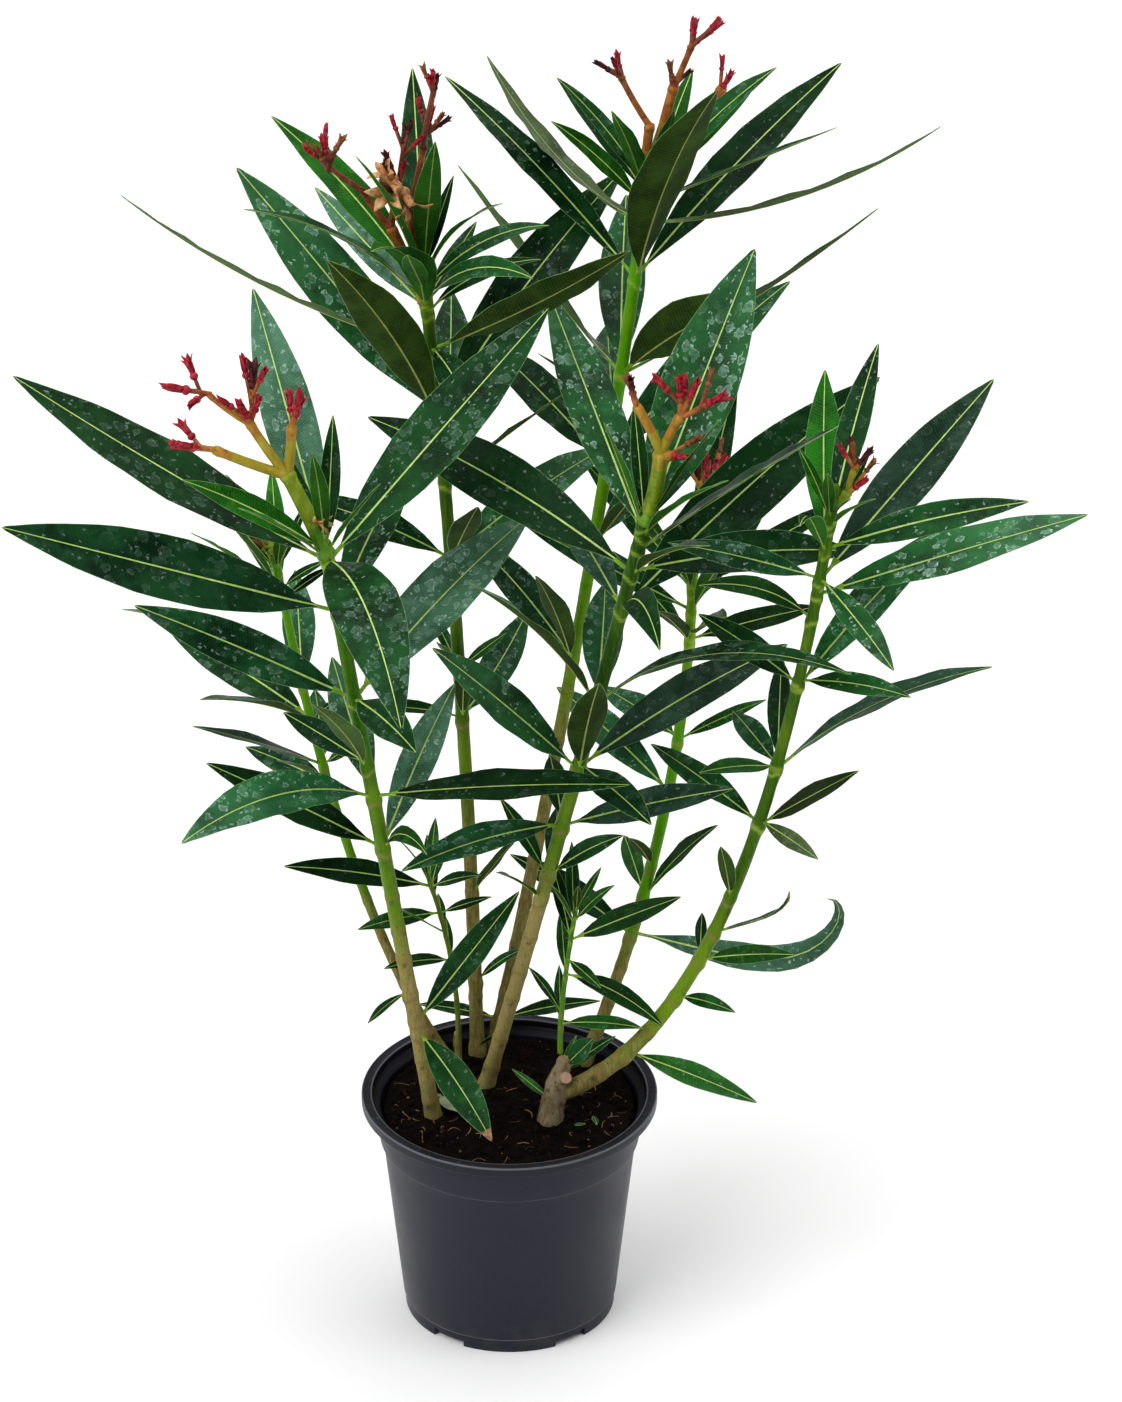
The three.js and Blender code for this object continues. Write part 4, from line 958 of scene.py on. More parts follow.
def ringHeights(name, cane):
    # node heights in mm: the whorls' own, and on bare wood old ones at a seeded spacing
    roll = np.random.default_rng(sum(map(ord, name)))
    own = sorted({row[0] + soilTop for row in whorls[name]})
    firstLeaf = min([h for h in own if h - soilTop >= cane["clear"]], default=cane["tip"][2])
    height, bare = cane["foot"][2] + barkLook["scarStart"], []
    while height < firstLeaf - barkLook["scarStart"]:
        bare.append(height)
        height += roll.uniform(*barkLook["scarGap"])
    bare = [h for h in bare if all(abs(h - other) > barkLook["scarClear"] for other in own)]
    return own, bare, roll


def caneShell(name, cane):
    # radius = girth + flare exp(-(z - soil) / fade) + collars at the nodes + a cushion under each leaf
    # + smooth lumps; centres follow the cane's curve, and azimuth is the true one of each column
    look, columns = barkLook, barkLook["columns"]
    lowest = look["youngStart"] if name == "young_right" else atHeight(cane, cane["foot"][2] - look["sunk"])
    span = np.linalg.norm(np.diff(along(cane, np.linspace(lowest, 1, 80)), axis=0), axis=1).sum()
    t = np.linspace(lowest, 1, int(span / look["step"]))
    line = along(cane, t)
    z, rise = line[:, 2], np.maximum(line[:, 2] - soilTop, 0)
    angle = np.radians(np.arange(columns) * 360 / columns)[None]
    side, over = frameAlong(line)
    x, y = (np.cos(angle) * side[:, [i]] + np.sin(angle) * over[:, [i]] for i in (0, 1))
    azimuth = np.degrees(np.arctan2(y, x))
    flare = growth["flare"] * np.exp(-rise / growth["flareFade"])
    full = cane.get("slim", look["slim"]) + cane.get("stout", 0) * np.exp(-rise / look["stoutFade"])
    radii = np.repeat((girth(cane, t) * full + flare)[:, None], columns, 1)
    ring, scar = np.zeros_like(radii), np.zeros_like(radii)
    own, bare, roll = ringHeights(name, cane)
    size = girth(cane, t)[:, None] / look["fullGirth"]
    for height in own:
        notch = np.zeros_like(radii)
        for leaf in leaves:
            if leaf["mass"] == name and leaf["height"] + soilTop == height:
                off, (wide, tall) = turnFrom(leaf["az"], azimuth), look["cushionWide"]
                notch += bump(off, 0, look["dipWide"])
                level = bump(z, height - look["cushionBelow"], tall)[:, None]
                radii += look["cushion"] * size * bump(off, 0, wide) * level
        bend = height - look["collarBelow"] - look["collarDip"] * np.clip(notch, 0, 1)
        radii += look["collar"] * size * bump(z[:, None], bend, look["collarWide"])
        ring += bump(z[:, None], bend - look["ringBelow"], look["ringWide"])
    for height in bare:
        turn = roll.uniform(0, 360)
        collar, band, cushion, mark = (
            (share * bump(z, height - below, tall))[:, None] for share, below, tall in
            (look[kind] for kind in ("oldCollar", "oldRing", "oldCushion", "oldScar")))
        radii += collar * size
        ring += band
        for k in range(3):
            off = turnFrom(turn + growth["whorlTurn"] * k, azimuth)
            radii += cushion * size * bump(off, 0, look["oldCushionWide"])
            scar += mark * bump(off, 0, look["oldScarWide"])
    around, cell = np.arange(columns)[None] * look["lumpsRound"] / columns, z[:, None] / look["lumpCell"]
    radii += look["lump"] * lattice(around, cell, 1, len(name), look["lumpsRound"]) * size
    return line, radii, {"ring": np.clip(ring, 0, 1), "scar": np.clip(scar, 0, 1), "cut": 0 * radii}


def makeCanes():
    # one tube for each cane, narrowed at its very end; the two young shoots stand for no stem of their own
    for name, cane in canes.items():
        if name == "stump":
            continue
        line, radii, values = caneShell(name, cane)
        radii[-1] *= barkLook["tipSheenShare"]
        shell = tubeShell(line, radii, barkLook["columns"], values=values)
        replaced = () if name.startswith("young") else ("stem_" + name,)
        makePiece("cane_" + name, [shell], [caneMaterial(name, cane)], replaced)


stumpLook = {
    "rows": 44, "columns": 36, "reach": (-0.2, 0.97), "flare": 1.8, "flareFade": 10,
    "lump": 0.7, "lumpCell": 6, "lumpsRound": 9, "bulge": 1.6, "bulgeAt": (158, 9), "bulgeTurn": 0.4,
    "ridge": 0.35, "ridges": 5, "ridgeTurn": 0.6, "ridgeFrom": 140, "ridgeOver": 20,
    # the broken top: its height, slant along x and y, jags, lowest point and how far its middle is sunk
    "cut": 168, "slant": (0.35, -0.1), "jag": 1.0, "jagsRound": 12, "least": 160, "sunk": 1.2, "narrow": 0.2,
    # where along the trunk it narrows and turns to bare wood, and over what length of it
    "narrowFrom": (0.94, 0.03), "woodFrom": (0.93, 0.03), "woodShare": 0.4,
    "ringAt": (150, 1.6), "ringShare": 0.5, "scarAt": 153, "scarSway": 4, "scarWide": 1.6,
    "scarShare": 0.8, "scarTurn": 1, "scarSide": 0.2, "lumpSeed": 5, "jagSeed": 12,
}
# the sawn stub: its foot and its reach, then for each ring its share of the reach, radius and cut colour
stubLook = {
    "foot": (30, -13, 163), "reach": (4.6, -8.6, 7.6), "columns": 20,
    "rings": [(0, 4.4, 0), (0.14, 4.3, 0), (0.28, 4.1, 0), (0.42, 3.9, 0), (0.56, 3.8, 0), (0.7, 3.8, 0),
              (0.84, 3.8, 0), (0.97, 3.7, 0.3), (0.998, 3.4, 1.0), (1.0, 2.6, 1.0)],
}


def makeStump():
    # a short trunk whose slanting top is broken rough, and a sawn stub on its side: radius = girth + flare
    # + lumps + a bulge where the cane leaves + low ridges, and points above the cut are lowered to it
    cane, look, columns = canes["stump"], stumpLook, stumpLook["columns"]
    t = np.linspace(*look["reach"], look["rows"])
    line = along(cane, t)
    z, tall = line[:, 2], line[:, [2]]
    angle = np.arange(columns)[None] * 2 * math.pi / columns
    flare = look["flare"] * np.exp(-np.maximum(z - soilTop, 0) / look["flareFade"])
    around = np.arange(columns)[None] * look["lumpsRound"] / columns
    lumps = lattice(around, tall / look["lumpCell"], 1, look["lumpSeed"], look["lumpsRound"])
    swell = look["bulge"] * bump(tall, *look["bulgeAt"]) * (1 + np.cos(angle - look["bulgeTurn"])) / 2
    radii = (girth(cane, t) + flare)[:, None] + look["lump"] * lumps + swell
    ridge = look["ridge"] * np.sin(look["ridges"] * angle + look["ridgeTurn"])
    radii = radii + ridge * np.clip((tall - look["ridgeFrom"]) / look["ridgeOver"], 0, 1)
    narrowing, wood = (np.clip((t - start) / over, 0, 1)
                       for start, over in (look["narrowFrom"], look["woodFrom"]))
    top = 1 - narrowing ** 2 * look["narrow"]
    scarLine = bump(tall, look["scarAt"] + look["scarSway"] * np.cos(angle), look["scarWide"])
    values = {
        "ring": look["ringShare"] * bump(tall, *look["ringAt"]) + 0 * radii,
        "scar": look["scarShare"] * scarLine * (np.cos(2 * angle + look["scarTurn"]) > look["scarSide"]),
        "cut": look["woodShare"] * wood[:, None] + 0 * radii,
    }
    shell = tubeShell(line, radii * top[:, None], columns, values=values)
    points = shell["points"]
    grid = points[:look["rows"] * columns].reshape(look["rows"], columns, 3)
    around = np.arange(columns) * look["jagsRound"] / columns
    jag = lattice(around, 0 * around, 1, look["jagSeed"], look["jagsRound"]) * look["jag"]
    height = look["cut"] + grid[:, :, :2] @ np.array(look["slant"]) + jag - look["jag"]
    grid[:, :, 2] = np.minimum(grid[:, :, 2], np.maximum(height, look["least"]))
    points[-1, 2] = grid[-1, :, 2].mean() - look["sunk"]
    share, stubRadii, cut = np.array(stubLook["rings"], float).T[:, :, None]
    stubLine = np.array(stubLook["foot"]) + share * np.array(stubLook["reach"])
    stubValues = {"ring": 0 * cut, "scar": 0 * cut, "cut": cut}
    shells = [shell, tubeShell(stubLine, stubRadii, stubLook["columns"], values=stubValues)]
    makePiece("cane_stump", shells, [caneMaterial("stump", cane)], ("stump",))


makeCanes()
makeStump()


# flower stalks with what is left of the flowers

stalkLook = {
    "seed": 77, "columns": 10, "step": 2.5, "sag": 0.035, "taper": 0.88, "back": 6, "backMost": 0.45,
    # swellings at the foot and just before the end: amount and width, and how far from the end
    "footSwell": (0.25, 3), "joint": (0.18, 2), "jointBack": 2.5,
    # side flowers: where they fork off, their turn and lift, length, radius, size and the colours they pass
    "forkBack": (1, 9), "forkTurn": (60, 140), "forkRise": 0.3, "forkLift": (-10, 40), "along": 0.75,
    "sideLong": (7, 14), "sideRadius": 1.1, "sideSize": (0.75, 0.95), "sideChange": 1.6,
    "endSize": (0.95, 1.12), "opens": (3, 22), "petalOpens": 48, "petalOff": 2.5,
}
calyxLook = {
    # height and radius of the cup's rings
    "cupTall": 4.2, "cup": (1.1, 2.1, 2.6, 2.5, 1.6), "columns": 10,
    "sepals": 5, "long": 12.5, "wide": 2.9, "thick": 0.3, "foot": 2.0, "off": 1.2, "curl": 0.28,
    "stop": 0.97, "rows": 6, "longShake": (0.85, 1.1), "turnShake": 8, "openShake": 10,
    # a sepal's taper, its bend along the length, and the places across it, over its face and back
    "taper": 0.6, "full": 0.6, "bend": (0.2, 1.4), "inward": 0.1,
    "across": (-1, -0.4, 0.4, 1, 0.4, -0.4), "level": (0, 1, 1, 0, -1, -1),
}
stalkPaints = {
    # from green at the foot to brown at the tips
    "stalk_green": ("#4f8212", "#7da22c", "#3a6a10"),
    "stalk_lime": ("#789014", "#a0b034", "#567a14"),
    "stalk_yellow": ("#a08e1e", "#c4ac40", "#7c8a22"),
    "stalk_amber": ("#a8761f", "#c8983a", "#80601c"),
    "stalk_orange": ("#a05a24", "#c08038", "#743a1a"),
    "stalk_rust": ("#864222", "#ac6838", "#552414"),
    "stalk_brown": ("#6a3320", "#985436", "#3c1a12"),
}
stalkMaterials = [plainGrain(name, base, light, 180, 0.45, 0.25, dark, (1, 1, 0.3))
                  for name, (base, light, dark) in stalkPaints.items()]
calyxMaterials = [
    plainGrain("calyx_crimson", "#96101f", "#cc3246", 260, 0.4, 0.2, "#5a0c16"),
    plainGrain("calyx_dark", "#3a1010", "#6b2422", 260, 0.55, 0.35, "#1c0808"),
    plainGrain("calyx_dried", "#7a4526", "#a86a3c", 240, 0.65, 0.4, "#42220f"),
    plainGrain("bloom_dried", "#cf9058", "#ecc090", 200, 0.6, 0.4, "#7a4a28"),
    plainGrain("bud_green", "#86a52a", "#b5c84a", 240, 0.45, 0.2, "#5c7a1c"),
]
bloomSlot = 3
headLooks = {
    # shares of crimson, dark, dried, bloom and green calyxes, how many side flowers a stalk's end has,
    # the stalk's colour where it leaves the cane and how many colours it passes in one piece,
    # how thick the stalks and how big the calyxes are
    "front_left": ((0.85, 0.1, 0.05, 0, 0), 2, (0.0, 1.4), 1.2, 1.15),
    "far_left": ((0.15, 0.0, 0.2, 0, 0.65), 1, (0.0, 0.7), 1.0, 0.7),
    "centre_left": ((0.5, 0.35, 0.15, 0, 0), 3, (3.2, 1.2), 1.4, 0.85),
    "centre_back": ((0.7, 0.2, 0.1, 0, 0), 1, (2.6, 1.2), 1.4, 0.78),
    "front_centre": ((0.6, 0.15, 0.25, 0, 0), 1, (0.3, 1.5), 1.2, 1.0),
    "right_back": ((0.6, 0.1, 0.3, 0, 0), 2, (0.4, 1.4), 1.1, 0.95),
    "right": ((0.3, 0.25, 0.45, 0, 0), 1, (0.0, 1.2), 1.1, 0.85),
}
# dried blooms that still hang: head, number of the stalk piece, place along it,
# and azimuth, rise and size of each tuft
driedBlooms = [
    ("centre_left", 4, 1.0, ((250, 10, 1.8), (300, -35, 1.6), (215, 45, 1.3))),
    ("front_left", 0, 0.45, ((330, -10, 0.9), (20, -40, 0.8))),
]


def twigShell(start, end, r0, r1, shades, sag):
    # a thin tube from start to end that sags by a parabola, swollen where it starts and just before its end;
    # its material goes from the first shade to the second
    length = np.linalg.norm(end - start)
    rows = max(5, int(length / stalkLook["step"]))
    s = np.linspace(0, 1, rows)
    line = start + (end - start) * s[:, None] + sag[None] * (4 * s * (1 - s))[:, None]
    (joint, jointWide), (foot, footWide) = stalkLook["joint"], stalkLook["footSwell"]
    swell = 1 + joint * bump(s * length, length - stalkLook["jointBack"], jointWide)
    radii = (r0 + (r1 - r0) * s) * (swell + foot * bump(s * length, 0, footWide))
    slots = np.linspace(*shades, rows - 1).clip(0, len(stalkPaints) - 1).round().astype(int)[:, None]
    return tubeShell(line, radii, stalkLook["columns"], slots)


def calyxShells(place, ahead, size, slot, roll, openness):
    # a small cup and five pointed sepals round it; a sepal is a closed grid whose half width is
    # wide (1 - s)^taper (full + s), and whose line leaves the cup at the angle it opens by
    look = calyxLook
    axis = upward if abs(ahead[2]) < 0.9 else np.array([1.0, 0, 0])
    side = np.cross(ahead, axis)
    side /= np.linalg.norm(side)
    over = np.cross(ahead, side)
    cupLine = place + ahead * (np.linspace(0, 1, len(look["cup"])) * look["cupTall"] * size)[:, None]
    shells = [tubeShell(cupLine, np.array(look["cup"]) * size, look["columns"], slot)]
    phase = roll.uniform(0, 360)
    s = np.linspace(0, look["stop"], look["rows"])
    a, (least, more) = np.array(look["across"]), look["bend"]
    level = np.array(look["level"]) * look["thick"] * size
    for k in range(look["sepals"]):
        turn = 360 / look["sepals"] * k
        around = math.radians(phase + turn + roll.uniform(-look["turnShake"], look["turnShake"]))
        out = math.cos(around) * side + math.sin(around) * over
        across = -math.sin(around) * side + math.cos(around) * over
        angle = math.radians(openness + roll.uniform(-look["openShake"], look["openShake"]))
        long = look["long"] * size * roll.uniform(*look["longShake"])
        bend = angle * (least + more * s ** 2) - look["inward"] * (1 - s)
        reach, rise = (np.cumsum(part(bend)) / len(s) * long for part in (np.sin, np.cos))
        rise, reach = rise + look["foot"] * size, reach + look["off"] * size
        centre = place + ahead * rise[:, None] + out * reach[:, None]
        half = look["wide"] * size * (1 - s) ** look["taper"] * (look["full"] + s)
        inward = -out * np.cos(bend)[:, None] + ahead * np.sin(bend)[:, None]
        curl = look["curl"] * half[:, None] * a ** 2
        points = centre[:, None] + across * (half[:, None] * a)[:, :, None]
        points = points + inward[:, None] * (curl + level)[:, :, None]
        shells.append(gridShell(points, slot, tips=(None, centre[-1] + (centre[-1] - centre[-2]) * 0.5)))
    return shells


def makeFlowerStalks():
    # each stalk piece is a twig; where none grows on, it ends in a calyx with side flowers just before it
    look = stalkLook
    roll = np.random.default_rng(look["seed"])
    twigs, cups = [], []
    for mass in flowerHeads:
        shares, sides, (first, change), thick, big = headLooks[mass]
        mine = [stalk for stalk in stalks if stalk["mass"] == mass]
        for stalk in mine:
            stalk["level"] = 0 if stalk["root"] < 0 else mine[stalk["root"]]["level"] + 1
            ahead, radius = heading(stalk["az"], stalk["rise"]), stalk["r"] * thick
            length = np.linalg.norm(stalk["to"] - stalk["from"])
            sag = roll.uniform(-1, 1, 3) * look["sag"] * length
            sag -= ahead * (sag @ ahead)
            shade = first + change * stalk["level"]
            back = min(look["back"] * big, length * look["backMost"]) if stalk["last"] else 0
            end = stalk["to"] - ahead * back
            twigs.append(twigShell(stalk["from"] - ahead * stalk["r"], end + ahead * stalk["r"] * 0.5,
                                   radius, radius * look["taper"], (shade, shade + change), sag))
            if not stalk["last"]:
                continue
            for n in range(sides + 1):
                kind = roll.choice(len(shares), p=shares)
                if n == 0:
                    place, direction, size = end, ahead, big * roll.uniform(*look["endSize"])
                else:
                    fork = end - ahead * roll.uniform(*look["forkBack"])
                    turn = roll.uniform(*look["forkTurn"]) * (1 if n == 1 else -1)
                    lift = stalk["rise"] * look["forkRise"] + roll.uniform(*look["forkLift"])
                    direction = ahead * look["along"] + heading(stalk["az"] + turn, lift)
                    direction /= np.linalg.norm(direction)
                    place = fork + direction * roll.uniform(*look["sideLong"])
                    shades = (shade + change, shade + change * look["sideChange"])
                    twigs.append(twigShell(fork - direction, place + direction, look["sideRadius"] * 1.1,
                                           look["sideRadius"], shades, np.zeros(3)))
                    size = big * roll.uniform(*look["sideSize"])
                cups += calyxShells(place, direction, size, kind, roll, roll.uniform(*look["opens"]))
    for mass, number, share, petals in driedBlooms:
        stalk = [stalk for stalk in stalks if stalk["mass"] == mass][number]
        perch = stalk["from"] + (stalk["to"] - stalk["from"]) * share
        for azimuth, rise, size in petals:
            ahead = heading(azimuth, rise)
            place = perch + ahead * look["petalOff"]
            cups += calyxShells(place, ahead, size, bloomSlot, roll, look["petalOpens"])
    makePiece("flower_stalks", twigs, stalkMaterials)
    makePiece("calyxes", cups, calyxMaterials)


makeFlowerStalks()


# the pot

potLook = {
    "columns": 180, "corner": 0.8, "gap": 6, "floor": 2.4, "footRadius": 64,
    "notches": 5, "notchTurn": -54, "notchWide": 22, "notchTall": 5.4, "notchIn": 54, "notchEdge": 0.12,
    "notchSlope": 0.1,
    # heights of the painted highlight lines along the two steps and their width; radii of the painted
    # highlight lines along the lip's two edges and their width
    "wearAndHighlight": (9.1, 117.2), "highlightLineWide": 0.5, "lipEdges": (89.6, 84.0), "edgeWide": (0.2, 0.7),
    # heights between which scuffs, the lip's sheen and painted highlight lines, and the painted shade over
    # the lip come in
    "scuffFrom": (146.2, 147.4), "lipFrom": (146.6, 147.4), "shadeFrom": (141.2, 142.2), "dustTo": 30,
}
potPaints = {
    # the pale step lines and lip edge lines are painted highlights, and the lip's dark paint is painted shade
    "base": "#13131c", "light": "#1d1d29", "cloud": "#2a2a33", "dust": "#3a3836", "mark": "#32323c",
    "wearAndHighlight": "#8b8b96", "scuff": "#9a9aa4", "shade": "#08080c", "edge": "#6f6f78",
}
# radius and height of each corner, from the middle of the underside, up the outside and down the inside
potProfile = [
    (64, 0), (64, 8.2), (65.2, 9.2), (77, 116.5), (79, 118), (80.5, 142), (90, 142), (90, 148), (83.5, 148),
    (83.2, 143.5), (78.5, 140), (77.2, 120), (75, 115.5), (62.6, potLook["floor"]),
]
# rings of the underside, and of the inner floor
undersideRings = (4.0, 30.0, 53.8, 54.2, 60.0)
floorRings = (30.0, 4.0)


def roundedProfile(corners, reach, steps=4, most=0.45):
    # each corner becomes the curve (1 - u)^2 before + 2 u (1 - u) corner + u^2 after, ends at most reach away
    corners = np.array([(0.0, corners[0][1])] + list(corners) + [(0.0, corners[-1][1])], float)
    before, here, after = corners[:-2], corners[1:-1], corners[2:]
    ends = []
    for other in (before, after):
        long = np.linalg.norm(other - here, axis=1)[:, None]
        ends.append(here + (other - here) / long * np.minimum(reach, long * most))
    u = np.linspace(0, 1, steps)[None, :, None]
    curve = (1 - u) ** 2 * ends[0][:, None] + 2 * u * (1 - u) * here[:, None] + u ** 2 * ends[1][:, None]
    return curve.reshape(-1, 2)


def dense(profile, gap):
    # adds points so that no step along the profile is longer than the gap
    parts = []
    for first, second in zip(profile[:-1], profile[1:]):
        count = max(1, math.ceil(np.linalg.norm(second - first) / gap))
        parts.append(first + (second - first) * (np.arange(count) / count)[:, None])
    return np.concatenate(parts + [profile[-1:]])


def potMaterial():
    # matte blue-black plastic: fine speckle, faint dust towards the foot, soft flow marks, painted highlight
    # lines along the two steps and the lip's two edges, small scuffs on the lip and painted shade over the
    # lip
    material, tree, shader, place = newMaterial("pot_plastic", Specular_IOR_Level=0.3, Specular_Tint=potSheen)
    height = addNode(tree, "SeparateXYZ", {0: place}).outputs["Z"]
    flat = stretched(tree, place, (1, 1, 0))
    radius = addNode(tree, "VectorMath", {0: flat}, operation="LENGTH").outputs["Value"]
    speckle, cloud = noise(tree, place, 1600, 3, 0.7), noise(tree, place, 22, 4, 0.6)
    marks = noise(tree, stretched(tree, place, (1, 1, 0.12)), 160, 3)

    def between(key, *shares):
        # 0 to 1, or one share to another, as the height goes between the two that the key names
        low, high = potLook[key]
        return ranged(tree, height, low * mm, high * mm, *shares)

    def over(colour, kind, *shares):
        # lays a paint over the colour by the product of the shares
        return tinted(tree, colour, product(tree, *shares), potPaints[kind])

    colour = over(potPaints["base"], "light", ranged(tree, speckle, 0.35, 0.7))
    colour = over(colour, "cloud", ranged(tree, cloud, 0.45, 0.8, 0, 0.2))
    dusty = ranged(tree, height, 0.0, potLook["dustTo"] * mm, 0.4, 0.0)
    colour = over(colour, "dust", dusty, clouds(tree, place, 90, 4, 0.4, 0.7))
    colour = over(colour, "mark", ranged(tree, marks, 0.6, 0.8, 0, 0.12))
    # painted highlight lines along the two steps, broken by noise
    wearAndHighlight, wide = clouds(tree, place, 60, 3, 0.3, 0.6, 0.35, 1), potLook["highlightLineWide"] * mm
    for step in potLook["wearAndHighlight"]:
        colour = over(colour, "wearAndHighlight", nearEdge(tree, height, step * mm, wide * 0.4, wide), wearAndHighlight, 0.55)
    scratches = clouds(tree, stretched(tree, place, (1, 1, 0.4)), 210, 2, 0.68, 0.73)
    colour = over(colour, "scuff", between("scuffFrom"), scratches, 0.5)
    # painted shade over the lip, from just below its underside to its top
    colour = over(colour, "shade", between("shadeFrom", 0, 0.75))
    # painted highlight lines along the lip's outer and inner edges
    onLip, (inner, outer) = between("lipFrom"), potLook["edgeWide"]
    for edge in potLook["lipEdges"]:
        colour = over(colour, "edge", nearEdge(tree, radius, edge * mm, inner * mm, outer * mm), onLip, 0.7)
    rough = reckon(tree, "MULTIPLY_ADD", onLip, -0.1, ranged(tree, cloud, 0.3, 0.7, 0.36, 0.46))
    normal = relief(tree, marks, 0.06, 0.0004, relief(tree, speckle, 0.14, 0.0003))
    wire(tree, shader, colour, normal, rough)
    return material


def makePot():
    # a lathed wall: (r cos angle, r sin angle, z); in a notch's columns the foot's rows are lifted to its top
    floor, tall = potLook["floor"], potLook["notchTall"]
    profile = dense(roundedProfile(potProfile, potLook["corner"]), potLook["gap"])
    profile = np.concatenate([[(r, 0.0) for r in undersideRings], profile, [(r, floor) for r in floorRings]])
    angle = np.arange(potLook["columns"]) * 360 / potLook["columns"]
    centres = potLook["notchTurn"] + 360 / potLook["notches"] * np.arange(potLook["notches"])
    half = math.degrees(math.asin(potLook["notchWide"] / 2 / potLook["footRadius"]))
    edges = np.concatenate([centres - half, centres + half])
    sides = [(edges + shift) % 360 for shift in (potLook["notchEdge"], -potLook["notchEdge"])]
    angle = np.sort(np.concatenate([angle, *sides]))
    inNotch = np.abs(turnFrom(centres[None], angle[:, None])).min(1) < half
    radius, height = profile[:, [0]], profile[:, [1]]
    outside = np.arange(len(profile))[:, None] < np.argmax(height) - 2
    lifted = outside & (radius > potLook["notchIn"]) & (height < tall)
    z = np.where(lifted & inNotch, tall + potLook["notchSlope"] * height / tall, height)
    turn = np.radians(angle)
    points = np.stack([radius * np.cos(turn), radius * np.sin(turn), z], -1)
    shell = gridShell(points, tips=((0, 0, 0), (0, 0, floor)))
    makePiece("pot_body", [shell], [potMaterial()], ("pot",))


makePot()


# the soil

soilLook = {
    "columns": 150, "rings": 64, "radius": 76.3, "inner": 0.02, "crowd": 0.9, "level": -0.6, "shift": 300,
    # amount, cell and seed of the hills, the crumbs and the fine crumbs; amount and width of the mound
    "layers": ((2.2, 34, 21), (1.3, 6.5, 22), (0.7, 2.8, 23)), "mound": (1.5, 30),
    # radius and height of the rings down the pot's wall and in to the underside
    "side": ((76.4, 128.0), (74.9, 113.0), (61.4, 2.9), (40.0, 2.9)),
}
bitLook = {
    "seed": 9, "crumbs": 700, "crumbReach": 75, "columns": 6, "small": (0.5, 1.7), "large": (1.5, 2.8),
    "largeEach": 9, "barkEach": 8, "paleEach": 24, "paleSize": 0.5, "stretch": (0.6, 1.3),
    "wobble": (0.75, 1.2), "raised": 0.15,
    "fibres": 80, "fibreReach": 73, "fibreIn": 0.96, "fibreMost": 74, "fibreLong": (2.5, 11),
    "fibreBend": 1.4, "fibreUp": 0.6, "fibreArch": 0.8, "fibreLift": (-0.3, 0.5),
    "fibreRadius": (0.13, 0.3), "fibreRows": 7,
}


def soilMaterial(name, dark, base, light):
    # crumbly earth: lumps from dark to base, pale grains, and deep relief from both
    material, tree, shader, place = newMaterial(name, Roughness=0.95, Specular_IOR_Level=0.08)
    grain, lump = noise(tree, place, 520, 6, 0.75), noise(tree, place, 140, 4, 0.6)
    colour = tinted(tree, dark, ranged(tree, lump, 0.35, 0.7), base)
    colour = tinted(tree, colour, ranged(tree, grain, 0.56, 0.74), light)
    wire(tree, shader, colour, relief(tree, lump, 0.7, 0.004, relief(tree, grain, 1.0, 0.002)))
    return material


def soilHeight(x, y):
    # level + wide hills + crumbs of two sizes + a low mound in the middle
    hills, crumbs, fine = (amount * lattice(x + soilLook["shift"], y + soilLook["shift"], cell, seed)
                           for amount, cell, seed in soilLook["layers"])
    amount, width = soilLook["mound"]
    return soilTop + soilLook["level"] + hills + (crumbs + fine) + amount * bump(np.hypot(x, y), 0, width)


def makeSoil():
    # polar grid: top face (r cos a, r sin a, soilHeight), a side along the pot's wall, a flat underside
    a = np.arange(soilLook["columns"]) * 2 * math.pi / soilLook["columns"]
    r = np.linspace(soilLook["inner"], 1, soilLook["rings"]) ** soilLook["crowd"] * soilLook["radius"]
    x, y = r[:, None] * np.cos(a), r[:, None] * np.sin(a)
    top = np.stack([x, y, soilHeight(x, y)], -1)
    sideR, sideZ = np.array(soilLook["side"]).T[:, :, None]
    side = np.stack([sideR * np.cos(a), sideR * np.sin(a), sideZ + 0 * a], -1)
    shell = gridShell(np.concatenate([top, side])[:, ::-1], tips=(None, (0, 0, soilLook["side"][-1][1])))
    materials = [soilMaterial("soil_dark", "#080403", "#160c08", "#3a261b")]
    makePiece("soil_body", [shell], materials, ("soil",))


